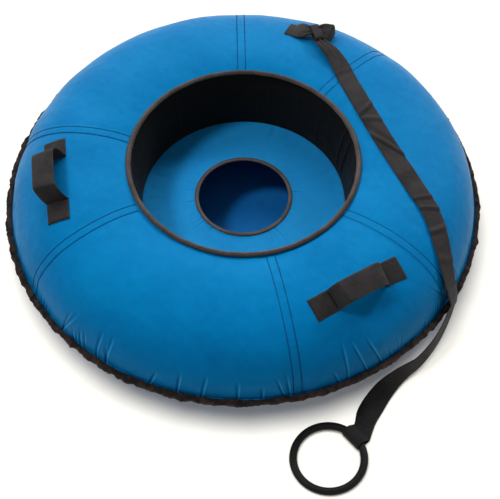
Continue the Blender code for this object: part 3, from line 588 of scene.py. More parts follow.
def makeStitchTree():
    # sewn rows: one long bead for each stitch, of uneven length
    tree, given, out = newGroup("stitch row", [("Rows", "Geometry", None), ("Spacing", "Float", None),
                                               ("Thread", "Float", None), ("Length Share", "Float", None),
                                               ("Seed", "Int", None), ("Finish", "Material", None)],
                                [("Stitches", "Geometry")], "GeometryNodeTree")
    curve = addNode(tree, "GeometryNodeMeshToCurve", {0: given["Rows"]})[0]
    points = addNode(tree, "GeometryNodeCurveToPoints", {"Curve": curve, "Length": given["Spacing"]},
                     mode="LENGTH")
    bead = addNode(tree, "GeometryNodeMeshIcoSphere", {"Radius": 1.0, "Subdivisions": 1})["Mesh"]
    uneven = addNode(tree, "FunctionNodeRandomValue", {2: 0.42, 3: 0.52, "Seed": given["Seed"]},
                     data_type="FLOAT")[1]
    length = maths(tree, "MULTIPLY", maths(tree, "MULTIPLY", given["Spacing"], given["Length Share"]), uneven)
    size = addNode(tree, "CombineXYZ", {0: given["Thread"], 1: given["Thread"], 2: length})[0]
    placed = addNode(tree, "GeometryNodeInstanceOnPoints", {"Points": points["Points"], "Instance": bead,
                                                            "Rotation": points["Rotation"], "Scale": size})[0]
    real = addNode(tree, "GeometryNodeRealizeInstances", {0: placed})[0]
    soft = addNode(tree, "GeometryNodeSetShadeSmooth", {0: real})[0]
    sewn = addNode(tree, "GeometryNodeSetMaterial", {0: soft, "Material": given["Finish"]})[0]
    return givenOut(tree, out, sewn)


stitchTree = makeStitchTree()


def sewRows(name, rows, spacing, thread, finish, lengthShare=0.9, seed=3):
    # rows is a list of lines that lie on the cloth
    edges, first = [], 0
    for row in rows:
        edges += [(first + k, first + k + 1) for k in range(len(row) - 1)]
        first += len(row)
    mesh = bpy.data.meshes.new(name)
    mesh.from_pydata(np.concatenate(rows).tolist(), edges, [])
    made = addObject(name, mesh)
    sewing = made.modifiers.new("sewing", "NODES")
    sewing.node_group = stitchTree
    values = {"Spacing": spacing, "Thread": thread, "Length Share": lengthShare, "Seed": seed,
              "Finish": finishes[finish]}
    for socket in stitchTree.interface.items_tree:
        if socket.in_out == "INPUT" and socket.name in values:
            sewing[socket.identifier] = values[socket.name]
    plain = bpy.data.meshes.new_from_object(made.evaluated_get(bpy.context.evaluated_depsgraph_get()))
    made.modifiers.clear()
    made.data = plain
    plain.name = name
    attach(made, "tube")


def finished(piece, slot, *nodes, body="tube"):
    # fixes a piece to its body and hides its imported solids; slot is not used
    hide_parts(*nodes)
    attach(piece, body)
    return piece


# The tow strap's line is the solid strap's, but for its last stretch, which lies up to 12 mm nearer the
# tube. looks says how its face turns where it hangs. A fold is its place, half width, height, slant and
# the shade beside it.
strap = {
    "route": [(0.18152, 0.35054, 0.27743), (0.206, 0.321, 0.276), (0.226, 0.288, 0.268),
              (0.247, 0.235, 0.265), (0.271, 0.177, 0.265), (0.295, 0.120, 0.265), (0.319, 0.064, 0.265),
              (0.343, 0.011, 0.265), (0.368, -0.040, 0.263), (0.393, -0.088, 0.260),
              (0.418, -0.131, 0.250), (0.435, -0.176, 0.235), (0.446, -0.220, 0.215),
              (0.457, -0.257, 0.187), (0.466, -0.281, 0.155), (0.471, -0.302, 0.128),
              (0.463, -0.324, 0.107), (0.442, -0.361, 0.083), (0.420, -0.388, 0.064),
              (0.395, -0.411, 0.048), (0.370, -0.426, 0.039), (0.346, -0.443, 0.032),
              (0.316, -0.471, 0.023), (0.293, -0.501, 0.013), (0.2765, -0.529, 0.0074),
              (0.26554, -0.56602, 0.0078)],
    "hangsFrom": 13,
    "looks": [(0.78, -0.42, 0.46), (0.87, -0.46, 0.18), (0.87, -0.50, 0.02), (0.83, -0.55, 0.02),
              (0.78, -0.62, 0.04), (0.72, -0.68, 0.08), (0.67, -0.72, 0.14), (0.60, -0.74, 0.24),
              (0.52, -0.70, 0.42), (0.40, -0.52, 0.74), (0.20, -0.25, 0.94), (0.04, -0.06, 1.0),
              (0.0, 0.0, 1.0)],
    "folds": [(0.105, 0.006, 0.0012, 0.10, 0.0), (0.150, 0.007, -0.0010, 0.15, 0.0),
              (0.229, 0.006, 0.0034, 0.45, 0.1), (0.262, 0.006, 0.0028, -0.48, 0.3),
              (0.342, 0.009, 0.0036, -1.90, 0.9), (0.430, 0.018, 0.0010, 0.1, 0.0),
              (0.508, 0.0045, 0.0026, -0.25, 0.1), (0.537, 0.005, 0.0026, -0.33, 0.1),
              (0.591, 0.006, 0.0030, 0.12, 0.0), (0.660, 0.008, 0.0016, -0.20, 0.0),
              (0.760, 0.015, 0.0010, 0.2, 0.0)],
    "grooveAside": 1.6, "grooveShare": 0.6, "markDepth": 0.0030, "ridgeMark": 0.7, "grooveMark": 0.8,
    "shadeAside": 3.5, "shadeWide": 2.2, "pleat": 0.0022, "pleatWaves": 520, "pleatMark": 0.3,
    "gathered": 0.08,
    "cup": 3.2, "cupEnds": (0.55, 0.75), "steps": 14, "across": 15, "skewLength": 0.090, "lift": 0.0019,
    "length": 1.137,
    "widths": [(0.0, 0.030), (0.035, 0.040), (0.080, 0.0445), (0.36, 0.0450), (0.46, 0.0480),
               (0.62, 0.0495), (0.80, 0.0505), (1.20, 0.0510)]}
# The hem's tape and how the strap keeps clear of it
hem = {"root": 0.54185, "reach": 0.5609, "keptClear": 0.012, "drapeHeight": 0.045, "drapeShare": 0.55,
       "drapeRoom": 0.0003, "strapAzimuth": -33.0, "strapWide": 0.040, "length": math.tau * 0.55}
ringEye = {"azimuth": 40.7, "centre": (0.190, -0.631), "ringRadius": 0.0775, "bar": 0.0085,
           "bore": 0.0117, "tail": 0.024, "tailDrop": 0.0065, "neckDegrees": 50, "clearance": 0.0003,
           "layersApart": 0.0002, "bendSteps": 40, "tailSteps": 8, "across": 13,
           "ridge": 0.00022, "ridgeWide": 0.09, "around": 128, "section": 28}


def ringPlace():
    # the ring's hinge line in the eye, the way out from the ring's middle, and the bar's sag in the eye
    out = np.append(wayAt(ringEye["azimuth"])[0], 0.0)
    radius = ringEye["ringRadius"]
    sag = radius - math.sqrt(radius ** 2 - (webbing["width"] / 2) ** 2)
    place = np.array((*ringEye["centre"], 0.0)) + out * (radius - sag / 2)
    place[2] = ringEye["bore"] + webbing["thick"] + ringEye["clearance"]
    return place, out, sag


def clearOfCover(points):
    # lifts points off the cover's top, or out over the edge of the hem
    radius = np.hypot(points[..., 0], points[..., 1])
    top = coverTop(radius) + strap["lift"]
    low = (radius < cover["rim"]) & (points[..., 2] > cover["seam"]) & (points[..., 2] < top)
    points[..., 2] = np.where(low, top, points[..., 2])
    fromSeam = np.abs(points[..., 2] - cover["seam"])
    least = (hem["reach"] + hem["drapeRoom"]
             - hem["drapeShare"] * np.maximum(0, fromSeam - hem["keptClear"]))
    near = (fromSeam < hem["drapeHeight"]) & (radius < least)
    points[..., :2] *= np.where(near, least / radius, 1.0)[..., None]
    return points


def strapFrame():
    route = np.array(strap["route"])
    looks = [coverFace(point) for point in route[:strap["hangsFrom"]]]
    looks += [unit(np.array(look)) for look in strap["looks"]]
    line = smoothRoute(route, strap["steps"])
    looks = unit(smoothRoute(looks, strap["steps"]))
    ahead = directions(line)
    sides = unit(np.cross(ahead, looks))
    along = distances(line)
    eyeSide = np.cross((0, 0, 1.0), ringPlace()[1])
    skew = ease(along, along[-1] - strap["skewLength"], along[-1])[:, None]
    sides = unit(sides * (1 - skew) + eyeSide * skew)
    return line, sides, unit(np.cross(sides, ahead)), along


def strapCreases(along, aside):
    # pleats where it is gathered at the hitch, edges that turn down, and a few soft cross folds
    pleats = np.cos(aside * strap["pleatWaves"]) * (1 - ease(along, 0.0, strap["gathered"]))
    cup = strap["cup"] * aside ** 2 * (1 - ease(along, *strap["cupEnds"]))
    lift, crease = strap["pleat"] * pleats - cup, strap["pleatMark"] * pleats
    for place, wide, deep, slant, shade in strap["folds"]:
        away = (along - place - slant * aside) / wide
        ridge, groove = hill(away), hill(away - strap["grooveAside"])
        mark = strap["ridgeMark"] * ridge - strap["grooveMark"] * groove
        lift = lift + deep * (ridge - strap["grooveShare"] * groove)
        crease = crease + deep / strap["markDepth"] * mark
        crease = crease - shade * hill(away + strap["shadeAside"], strap["shadeWide"])
    # crease gives a painted highlight on each ridge, and painted shade in each groove and beside each fold
    return lift, np.clip(crease, -1, 1)


def addStrap():
    line, sides, looks, along = strapFrame()
    widths = np.interp(along, *np.array(strap["widths"]).T)
    under = line - looks * webbing["thick"] / 2
    line = clearOfCover(under) + looks * webbing["thick"] / 2
    made = band("towStrap", line, sides, looks, widths, strap["across"], strapCreases)
    return finished(made, "webbing", "tow_strap"), line


def addRingEye():
    # the webbing round the ring's bar, with its tail up to the strap's end
    place, out, _ = ringPlace()
    radius = ringEye["bore"] + webbing["thick"] / 2
    neck = ringEye["neckDegrees"]
    turn = np.radians(np.linspace(360 - neck, neck, ringEye["bendSteps"]))
    bend = np.stack([radius * np.cos(turn), radius * np.sin(turn)], axis=1)
    half = webbing["thick"] / 2 + ringEye["layersApart"]
    ends = [np.array((ringEye["tail"], -ringEye["tailDrop"] + sign * half)) for sign in (-1, 1)]
    lower = np.linspace(ends[0], bend[0], ringEye["tailSteps"])[:-1]
    upper = np.linspace(bend[-1], ends[1], ringEye["tailSteps"])[1:]
    flat = np.concatenate([lower, bend, upper])
    up = np.array((0, 0, 1.0))
    line = place + flat[:, :1] * out + flat[:, 1:] * up
    side = np.broadcast_to(np.cross(out, up), line.shape)
    looks = unit(np.cross(side, directions(line)))
    made = band("strapRingEye", line, side, looks, webbing["width"], ringEye["across"])
    return finished(made, "webbing", "strap_ring_eye")


def addRing():
    place, out, sag = ringPlace()
    radius, bar = ringEye["ringRadius"], ringEye["bar"]
    around, turn = fullTurn(ringEye["around"])[:, None], fullTurn(ringEye["section"])[None, :]
    wide = bar + ringEye["ridge"] * hill(np.sin(turn), ringEye["ridgeWide"])   # where the mould's halves met
    rings = turned(radius + wide * np.cos(turn), wide * np.sin(turn), around)
    rings[..., 0] += sag / 2 - radius
    tilt = math.asin((place[2] - bar - ringEye["clearance"]) / (2 * radius - sag / 2))
    where = (Matrix.Translation(Vector(place)) @ Matrix.Rotation(math.atan2(out[1], out[0]), 4, "Z")
             @ Matrix.Rotation(-tilt, 4, "Y"))
    moved = rings @ np.array(where.to_3x3()).T + np.array(where.translation)
    u = np.concatenate([around, [[math.tau]]]) * radius
    v = np.concatenate([turn, [[math.tau]]], axis=1) * bar
    flat = np.stack(np.broadcast_arrays(u, v), axis=-1)
    finished(sleeve("towRing", moved, flat, finishes["ring"], True), "black_plastic", "tow_ring", body="ring")


addCamera()
towStrap, strapPath = addStrap()
eyePiece = addRingEye()
addRing()
print("snow tube: camera, strap and ring are made")

# Tucks in the cloth at the hem. Each one seen in the photograph is an azimuth, a length up from the hem
# and a slant; the rest come in random bunches.
tucks = {"seed": 11, "between": 0.080, "pitch": 0.0085, "depth": 0.0020, "width": 0.0022, "reach": 0.050,
         "widens": 0.12, "drawn": (307, 581), "bunch": (1, 6), "fan": 0.15, "spread": 0.12, "waver": 0.06,
         "seenDepths": (0.75, 1.15), "seenWidths": (0.85, 1.2), "depths": (0.4, 1.1), "widths": (0.8, 1.3),
         "reachSpread": 0.35, "pitches": (0.7, 1.5), "gaps": (0.3, 1.5), "fade": (0.5, 1.05), "far": 5,
         "aside": 1.75, "ridgeWide": 0.62, "ridgeShare": 0.55, "otherWide": 0.8, "otherShare": 0.45,
         "otherMark": 0.3, "grooveMark": 0.9,
         "seen": [(222.7, 0.088, 0.43), (222.9, 0.080, 0.20), (226.6, 0.044, -0.07), (227.9, 0.045, -0.06),
                  (229.0, 0.055, -0.08), (230.7, 0.062, -0.14), (233.9, 0.090, 0.05), (236.9, 0.080, -0.10),
                  (236.6, 0.095, 0.10), (248.3, 0.050, 0.30), (255.0, 0.068, 0.08), (260.7, 0.075, 0.14),
                  (268.9, 0.062, 0.02), (274.5, 0.046, 0.01), (279.6, 0.066, -0.27), (280.9, 0.075, -0.11),
                  (292.7, 0.052, -0.34), (294.9, 0.115, -0.03), (299.9, 0.110, -0.28),
                  (304.0, 0.100, -0.32)]}
# How the cloth dips at the seams, is pulled by its stitches, swells, and stands out at two shoulders,
# each an azimuth and a height
swells = {"valley": 0.0014, "valleyWide": 0.026, "valleyMore": 1.4, "valleyMoreBy": 0.06,
          "sewn": 0.0008, "sewnWide": 0.0013, "pull": 0.0005, "pullWide": 0.020, "pullWaves": 380,
          "pullShift": 9, "pullTurns": 3, "swell": 0.0009, "ripple": 0.00016, "atBinding": 0.35,
          "heldReach": 0.02, "finShare": 0.3,
          "shoulders": [(42, 0.0075), (122, 0.0040)], "shoulderRadius": 0.475, "shoulderWide": 0.055,
          "shoulderTurn": 0.45}


def makeTucks():
    # for each tuck: its azimuth, depth, width, length up from the hem and slant
    rng = np.random.default_rng(tucks["seed"])
    found = [(math.radians(azimuth), tucks["depth"] * rng.uniform(*tucks["seenDepths"]),
              tucks["width"] * rng.uniform(*tucks["seenWidths"]), length, slant)
             for azimuth, length, slant in tucks["seen"]]
    azimuth, stop = np.radians(tucks["drawn"])
    while azimuth < stop:
        count, fan = int(rng.integers(*tucks["bunch"])), rng.normal(0, tucks["fan"])
        for k in range(count):
            found.append((azimuth, tucks["depth"] * rng.uniform(*tucks["depths"]),
                          tucks["width"] * rng.uniform(*tucks["widths"]),
                          tucks["reach"] * rng.lognormal(0, tucks["reachSpread"]),
                          fan + tucks["spread"] * (k - count / 2) + rng.normal(0, tucks["waver"])))
            azimuth += tucks["pitch"] / cover["rim"] * rng.uniform(*tucks["pitches"])
        azimuth += tucks["between"] / cover["rim"] * rng.uniform(*tucks["gaps"])
    return found


hemTucks = makeTucks()
coverSwell = softWaves(5, 0.09, 0.26, 14)
clothRipple = softWaves(6, 0.018, 0.045, 16)


def tuckFold(azimuth, fromHem):
    # how deep the tucks are, and how far a place is a ridge (1) or a groove (-1) of one
    depth = np.zeros(np.broadcast(azimuth, fromHem).shape)
    crease = np.zeros_like(depth)
    start, stop = tucks["fade"]
    for place, deep, wide, length, slant in hemTucks:
        aside = ((wrapped(azimuth - place) * cover["rim"] - slant * fromHem)
                 / (wide * (1 + fromHem / tucks["widens"])))
        near = (np.abs(aside) < tucks["far"]) & (fromHem < length * stop)
        if near.any():
            fade = deep * (1 - ease(fromHem, start * length, stop * length))
            groove, ridge = hill(aside), hill(aside - tucks["aside"], tucks["ridgeWide"])
            other = tucks["otherShare"] * hill(aside + tucks["aside"], tucks["otherWide"])
            mark = ridge + tucks["otherMark"] * other - tucks["grooveMark"] * groove
            depth += np.where(near, fade * (tucks["ridgeShare"] * (ridge + other) - groove), 0)
            crease += np.where(near, fade / tucks["depth"] * mark, 0)
    return depth, np.clip(crease, -1, 1)


def seamAside(azimuth, radius):
    # the sideways distance to the nearest seam
    nearest = np.full(np.broadcast(azimuth, radius).shape, 9.0)
    for seam in cover["seams"]:
        turn = wrapped(azimuth - math.radians(seam))
        aside = np.where(np.abs(turn) < 1.2, radius * np.sin(turn), 9.0)
        nearest = np.where(np.abs(aside) < np.abs(nearest), aside, nearest)
    return nearest


def clothLift(points, azimuth, radius, fromHem):
    # how far the cloth lies off the cover's plain shape, along its own outward way, and its creases
    aside = np.abs(seamAside(azimuth, radius))
    valley = swells["valley"] * hill(aside, swells["valleyWide"]) * (
        1 + swells["valleyMore"] * np.exp(-fromHem / swells["valleyMoreBy"]))
    sewn = swells["sewn"] * hill(aside - cover["stitchAside"], swells["sewnWide"])
    pulls = swells["pull"] * hill(aside, swells["pullWide"]) * (
        0.5 + 0.5 * np.sin(fromHem * swells["pullWaves"]
                           + swells["pullShift"] * np.sin(azimuth * swells["pullTurns"])))
    swell = swells["swell"] * coverSwell(points) + swells["ripple"] * clothRipple(points)
    shoulder = sum(height * hill(wrapped(azimuth - math.radians(place)), swells["shoulderTurn"])
                   for place, height in swells["shoulders"])
    shoulder = shoulder * hill(radius - swells["shoulderRadius"], swells["shoulderWide"])
    folds, crease = tuckFold(azimuth, fromHem)
    held = swells["atBinding"] + (1 - swells["atBinding"]) * ease(fromHem, 0.0, swells["heldReach"])
    return (swell - valley - sewn - pulls) * held + shoulder + folds, crease


def coverProfile(rows):
    # radius and height from the mouth to the hem, and the distance still to go
    angle = np.linspace(0, math.pi / 2, cover["outerSteps"])[1:]
    power = 2 / cover["shoulderPower"]
    inner = np.linspace(cover["mouth"], cover["crown"], cover["innerSteps"])
    shoulder = cover["crown"] + (cover["rim"] - cover["crown"]) * np.sin(angle) ** power
    fall = cover["seam"] + (cover["crownHeight"] - cover["seam"]) * np.abs(np.cos(angle)) ** power
    radius, height = np.concatenate([inner, shoulder]), np.concatenate([coverTop(inner), fall])
    along = distances(np.stack([radius, height], axis=1))
    want = along[-1] * (1 - (1 - np.linspace(0, 1, rows)) ** cover["rowPower"])
    return np.interp(want, along, radius), np.interp(want, along, height), along[-1] - want


def panelRows():
    # the profile with its turned-in ends, and how freely each row moves
    radius, height, fromHem = coverProfile(cover["rows"])
    mouthFin, hemFin = np.array(cover["mouthFin"]) * math.sqrt(0.5), np.array(cover["hemFin"])
    radius = np.concatenate([cover["mouth"] - mouthFin, radius, hem["root"] + hemFin[:, 0]])
    height = np.concatenate([height[0] + mouthFin, height, cover["seam"] + hemFin[:, 1]])
    fromHem = np.concatenate([fromHem[:1], fromHem[:1], fromHem, [0, 0, 0]])
    return radius, height, fromHem, np.concatenate([[0, 0], np.ones(cover["rows"]), [0.5, 0, 0]])


def cutArea(flat):
    # the area of a grid of places on the cut cloth
    a, b = flat[1:, 1:] - flat[:-1, :-1], flat[1:, :-1] - flat[:-1, 1:]
    return float(np.abs(a[..., 0] * b[..., 1] - a[..., 1] * b[..., 0]).sum() / 2)


def declareSheet(piece, width, length, area):
    print(f"snow tube: {piece.name} is cut {width:.3f} by {length:.3f} m, {area:.4f} m2")


def addPanel(number, first, last):
    # its first edge lies under the panel before it, and its last edge laps over the next one
    radius, height, fromHem, slide = panelRows()
    a, b = math.radians(first), math.radians(last)
    lead = np.array(cover["zone"])
    trail = -lead[::-1]
    middle = int((b - a) * cover["rim"] / cover["columnStep"])
    share = np.linspace(0, 1, middle)[1:-1, None]
    left = a + np.arcsin(lead[:, None] / radius)
    right = b + np.arcsin(trail[:, None] / radius)
    azimuth = np.concatenate([left, left[-1] + (right[0] - left[-1]) * share, right])
    lap = np.zeros(len(azimuth))
    lap[-len(trail):] = cover["lapLift"] * ease(trail, *cover["lapEdge"])
    plain = turned(radius, height, azimuth)
    normal = gridNormals(plain)
    normal *= np.sign(normal[..., 2:].sum())
    lift, crease = clothLift(plain, azimuth, radius, fromHem)
    lift = lift * slide + lap[:, None] * np.maximum(slide, swells["finShare"])
    outer = plain + normal * lift[..., None]
    inner = outer - normal * cover["cloth"]
    rings = np.concatenate([outer, inner[:, ::-1]], axis=1)
    u = (azimuth - (a + b) / 2) * radius
    v = np.broadcast_to(distances(np.stack([radius, height], axis=1)), u.shape)
    flat = np.stack([u, v], axis=-1)
    area = cutArea(flat)
    flat = np.concatenate([flat, flat[:, ::-1], flat[:, :1]], axis=1)
    # the tucks' creases give a painted highlight on each ridge and painted shade in each groove
    marks = np.concatenate([crease * slide, np.zeros_like(crease)], axis=1)
    made = sleeve(f"topPanel{number}", rings, flat, finishes["blueCloth"], crease=marks)
    finished(made, "blue_cloth", f"top_panel_{number}")
    declareSheet(made, u.max() - u.min(), v.max() - v.min(), area)


def seamRow(seam, aside):
    # a line on the lapped cloth, from the mouth to the hem
    radius, height, fromHem = coverProfile(cover["stitchRows"])
    azimuth = math.radians(seam) + np.arcsin(aside / radius)
    plain = turned(radius, height, azimuth)
    slopes = unit(np.stack([np.gradient(radius), np.gradient(height)], axis=1))
    normal = turned(-slopes[:, 1], slopes[:, 0], azimuth)
    lift = clothLift(plain, azimuth, radius, fromHem)[0] + (cover["lapLift"] + cover["threadLift"])
    return (plain + normal * lift[:, None])[slice(*cover["stitchEnds"])]


def addCover():
    seams = cover["seams"]
    for index, first in enumerate(seams):
        last = seams[index + 1] if index + 1 < len(seams) else seams[0] + 360
        addPanel(index + 1, first, last)
    rows = [seamRow(seam, sign * cover["stitchAside"]) for seam in seams for sign in (-1, 1)]
    sewRows("seamStitches", rows, cover["stitchSpacing"], cover["thread"], "navyThread", 1.0)


addCover()
print("snow tube: the cover is made")

# Bindings are tapes folded over an edge. root is the radius and height where a tape starts, degrees the
# way it reaches out, and tape its start, its end, half the room in it, its thickness and its tip's room.
# stitches are their place out and aside, their columns, spacing and thread.
seatRise, seatRun = 0.016, 0.1355   # from the wall's foot to the seat's hole
seatSlope = math.degrees(math.atan2(seatRise, seatRun))
bindings = {
    "hemBinding": {"node": "hem_binding", "root": (hem["root"], cover["seam"]), "degrees": 0,
                   "tape": (0.0045, 0.0151, 0.0033, 0.0015, 0.0008), "columns": 2400, "finish": "hemTape",
                   "edgeShade": 0.0, "stitchName": "hemStitches", "stitches": (0.0075, 0.0050, 1800),
                   "spacing": 0.0060, "thread": 0.00045},
    "mouthBinding": {"node": "mouth_binding",
                     "root": (cover["mouth"], cover["crownHeight"] - cover["mouthDrop"]),
                     "degrees": 135, "tape": (0.0020, 0.0094, 0.0037, 0.0012, 0.0008), "columns": 720,
                     "finish": "binding", "edgeShade": 0.8, "stitchName": "mouthStitches",
                     "stitches": (0.0040, 0.0049, 900), "spacing": 0.0045, "thread": 0.00040},
    "seatHoleBinding": {"node": "seat_hole_binding", "root": (0.1075, 0.1155), "degrees": 180 - seatSlope,
                        "tape": (-0.0078, -0.0012, 0.0012, 0.0012, 0.0012), "columns": 480,
                        "finish": "binding", "edgeShade": 0.8, "stitchName": "seatHoleStitches",
                        "stitches": (-0.0058, 0.0025, 900), "spacing": 0.0042, "thread": 0.00038}}
# The hem's gathers. The waves of each kind are drawn with a seed, a spacing and a width.
gathers = {"waves": {"reach": (21, 0.020, 0.008), "fat": (22, 0.016, 0.007), "tip": (24, 0.030, 0.012),
                     "top": (25, 0.013, 0.005), "fine": (23, 0.0075, 0.0028)},
           "aside": 0.0014, "reach": 0.0030, "fine": 0.0012, "tuckPull": 0.0010, "tuckWide": 0.0055,
           "reachEnds": (-0.0026, 0.0036), "pressed": 0.0008, "tip": 0.0032, "tipDrop": 0.0014,
           "ripple": 0.0006, "fat": 0.45, "fatMiddle": 1.08, "fatEnds": (0.86, 1.7), "top": 0.0030,
           "topEnds": (-0.0006, 0.0034), "start": 0.0045, "full": 0.012, "topFrom": (0.016, 0.006),
           "most": 1.2, "rippleFrom": (0.1, 0.5)}
mouthWaves = {"height": 0.0003, "full": 0.01, "shift": 1.3}
hemWobble = {kind: lumps(*values, hem["length"]) for kind, values in gathers["waves"].items()}
mouthWobble = unevenness(31, (9, 60), 10)


def foldedSection(start, end, half, tape, tip, points=5, bends=9):
    # the tape's loop in its own plane: out along one side, round the tip, back, and again inside
    bend = np.linspace(-math.pi / 2, math.pi / 2, bends)
    straight = start + (end - start) * np.arange(points) / points
    def side(height, far):
        out = [(place, -height) for place in straight]
        out += [(end + far * math.cos(t), height * math.sin(t)) for t in bend]
        return out + [(place, height) for place in straight[::-1]]
    return np.array(side(half + tape, tip + tape) + side(half, tip)[::-1])


def hemShape(azimuth, section):
    # gathered tape: it reaches out unevenly, tips up and down, swells and ripples
    g, wobble = gathers, {kind: wave(azimuth) for kind, wave in hemWobble.items()}
    reach = g["reach"] * wobble["reach"] + g["fine"] * wobble["fine"] - g["aside"] * np.cos(azimuth)
    pull = sum(deep / tucks["depth"] * hill(wrapped(azimuth - place) * cover["rim"], g["tuckWide"])
               for place, deep, _, _, _ in hemTucks)
    reach = np.clip(reach - g["tuckPull"] * np.minimum(pull, g["most"]), *g["reachEnds"])
    fromStrap = wrapped(azimuth - math.radians(hem["strapAzimuth"])) * hem["reach"] / hem["strapWide"]
    reach = np.where(reach > g["pressed"], reach + (g["pressed"] - reach) * np.exp(-fromStrap ** 4), reach)
    tip = g["tip"] * wobble["tip"] - g["tipDrop"]
    fat = np.clip(g["fatMiddle"] + g["fat"] * wobble["fat"], *g["fatEnds"])
    upper = np.clip(g["top"] * wobble["top"], *g["topEnds"])
    share = np.clip((section[None, :, 0] - g["start"]) / g["full"], 0, g["most"])
    moved = np.empty((len(azimuth), *section.shape))
    moved[..., 0] = section[:, 0] + share * reach[:, None]
    ripple = g["ripple"] * wobble["fine"][:, None] * np.sign(section[:, 1]) * ease(share, *g["rippleFrom"])
    moved[..., 1] = (section[:, 1] * fat[:, None] + share * tip[:, None] + ripple
                     + upper[:, None] * (section[:, 1] > 0) * ease(section[:, 0], *g["topFrom"]))
    return moved


def mouthShape(azimuth, section):
    moved = np.broadcast_to(section, (len(azimuth), *section.shape)).copy()
    height, share = mouthWaves["height"], np.clip(section[:, 0] / mouthWaves["full"], 0, 1)
    moved[..., 1] += height * mouthWobble(azimuth)[:, None] * share
    moved[..., 0] += height * mouthWobble(azimuth + mouthWaves["shift"])[:, None]
    return moved


def plainShape(azimuth, section):
    return np.broadcast_to(section, (len(azimuth), *section.shape))


bindingShapes = {"hemBinding": hemShape, "mouthBinding": mouthShape, "seatHoleBinding": plainShape}


def bindingPoints(name, azimuth, section):
    # radius and height of the section's points at each azimuth
    way, across = wayAt(bindings[name]["degrees"])
    places = bindingShapes[name](azimuth, section)
    flat = np.array(bindings[name]["root"]) + places[..., :1] * way + places[..., 1:] * across
    return turned(flat[..., 0], flat[..., 1], azimuth[:, None])


def addBinding(name):
    facts = bindings[name]
    section, columns = foldedSection(*facts["tape"]), facts["columns"]
    rings = bindingPoints(name, fullTurn(columns), section)
    v = distances(np.vstack([section, section[:1]]))
    u = np.linspace(0, math.tau, columns + 1) * facts["root"][0]
    flat = np.stack(np.broadcast_arrays(u[:, None], v[None, :]), axis=-1)
    # the darkened outer edges are painted shade along the tape's folds
    place = np.arange(len(section))   # edgeShade darkens the tape's outer edges
    edge = 1 - np.minimum(place, len(section) // 2 - 1 - place) / 4
    crease = np.broadcast_to(-facts["edgeShade"] * np.clip(edge, 0, 1), rings.shape[:2])
    made = sleeve(name, rings, flat, finishes[facts["finish"]], True, crease)
    finished(made, "webbing", facts["node"])


def addBindingStitches(name):
    facts = bindings[name]
    out, aside, columns = facts["stitches"]
    azimuth = np.linspace(0, math.tau, columns)
    rows = [bindingPoints(name, azimuth, np.array([[out, sign * aside]]))[:, 0] for sign in (1, -1)]
    sewRows(facts["stitchName"], rows, facts["spacing"], facts["thread"], "blackThread")


for name in bindings:
    addBinding(name)
for name in bindings:
    addBindingStitches(name)
print("snow tube: the bindings are made")

# The inner wall, the seat and the bottom. A room is a gap to the piece outside, and a fin, bend or foot
# is where the cloth turns in. Eases say where a form fades in and out, from the cloth's ends.
well = {"waist": 0.243, "waistHeight": 0.100, "bulge": 0.005, "hole": 0.1075, "mouthHeight": 0.253,
        "bottomReach": 0.123, "bottomCloth": 0.0012, "cloth": 0.0009, "columns": 720, "bottomColumns": 800,
        "wallSteps": 40, "wallRoom": 0.0012, "finRoom": 0.0002, "wallFin": (0.0085, 0.0040),
        "wallFoot": (0.097, 0.094, 0.091, 0.088), "wallPull": 0.0012, "wallSwell": 0.0008,
        "wallEases": ((0.010, 0.05), (0.014, 0.05)),
        "seatRoom": 0.00145, "seatBend": [(0.0, 0.088), (0.0, 0.0992), (0.0012, 0.1004)],
        "seatEdge": (0.0015, 0.116), "seatSteps": (4, 2, 60), "seatSag": 0.0035, "seatSagFrom": 0.013,
        "seatSwell": 0.0010, "seatPull": 0.0010, "seatPullAt": (0.02, 0.035), "holePull": 0.0009,
        "holePullWide": 0.03, "seatEases": ((0.012, 0.030), (0.0, 0.016)),
        "bowlSteps": 45, "floorSteps": 13, "floorLift": 0.00004,
        "bottomFin": [(0.0085, 0.1127), (0.0055, 0.1127), (0.0030, 0.1126)], "bottomSwell": 0.0009,
        "bottomRipple": 0.0002, "bottomMost": 0.0004, "bottomDrop": 0.6, "hemFrom": 0.012,
        "bowlEase": 0.02, "flatBelow": 0.012, "foldEase": 0.004}
wallPulls = unevenness(41, (22, 70), 12)
seatPulls = unevenness(42, (14, 46), 12)
seatSwell = softWaves(43, 0.07, 0.20, 10)
bottomSwell = softWaves(44, 0.08, 0.26, 12)


def turnedSkin(name, line, lift, thick, inwards, columns, finish, slot, node, cutRound=False):
    # A sheet turned about the axis. lift(points, azimuth, along) moves it off its line; a radius of 0
    # is closed to a point. cutRound is for cloth that is cut as a disc, not as a strip.
    line = np.array(line)
    azimuth = fullTurn(columns)[:, None]
    along = distances(line)
    slopes = directions(line)
    way = np.stack([-slopes[:, 1], slopes[:, 0]], axis=1) * (-1 if inwards else 1)
    plain = turned(line[:, 0], line[:, 1], azimuth)
    normal = turned(way[:, 0], way[:, 1], azimuth)
    outer = plain + normal * lift(plain, azimuth, along)[..., None]
    rings = np.concatenate([outer, (outer - normal * thick)[:, ::-1]], axis=1)
    u = np.concatenate([azimuth, [[math.tau]]]) * line[:, 0]
    flat = np.stack(np.broadcast_arrays(u, along[None, :]), axis=-1)
    flat = np.concatenate([flat, flat[:, ::-1], flat[:, :1]], axis=1)
    area = float((math.pi * (line[1:, 0] + line[:-1, 0]) * np.diff(along)).sum())
    made = sleeve(name, rings, flat, finishes[finish], True)
    if line[:, 0].min() < 1e-9:
        shape = bmesh.new()
        shape.from_mesh(made.data)
        bmesh.ops.remove_doubles(shape, verts=shape.verts, dist=1e-7)
        bmesh.ops.delete(shape, geom=[edge for edge in shape.edges if not edge.link_faces], context="EDGES")
        shape.to_mesh(made.data)
        shape.free()
    finished(made, slot, node)
    across = 2 * (line[-1, 0] + along[-1]) if cutRound else math.tau * line[:, 0].max()
    declareSheet(made, across, across if cutRound else along[-1], area)


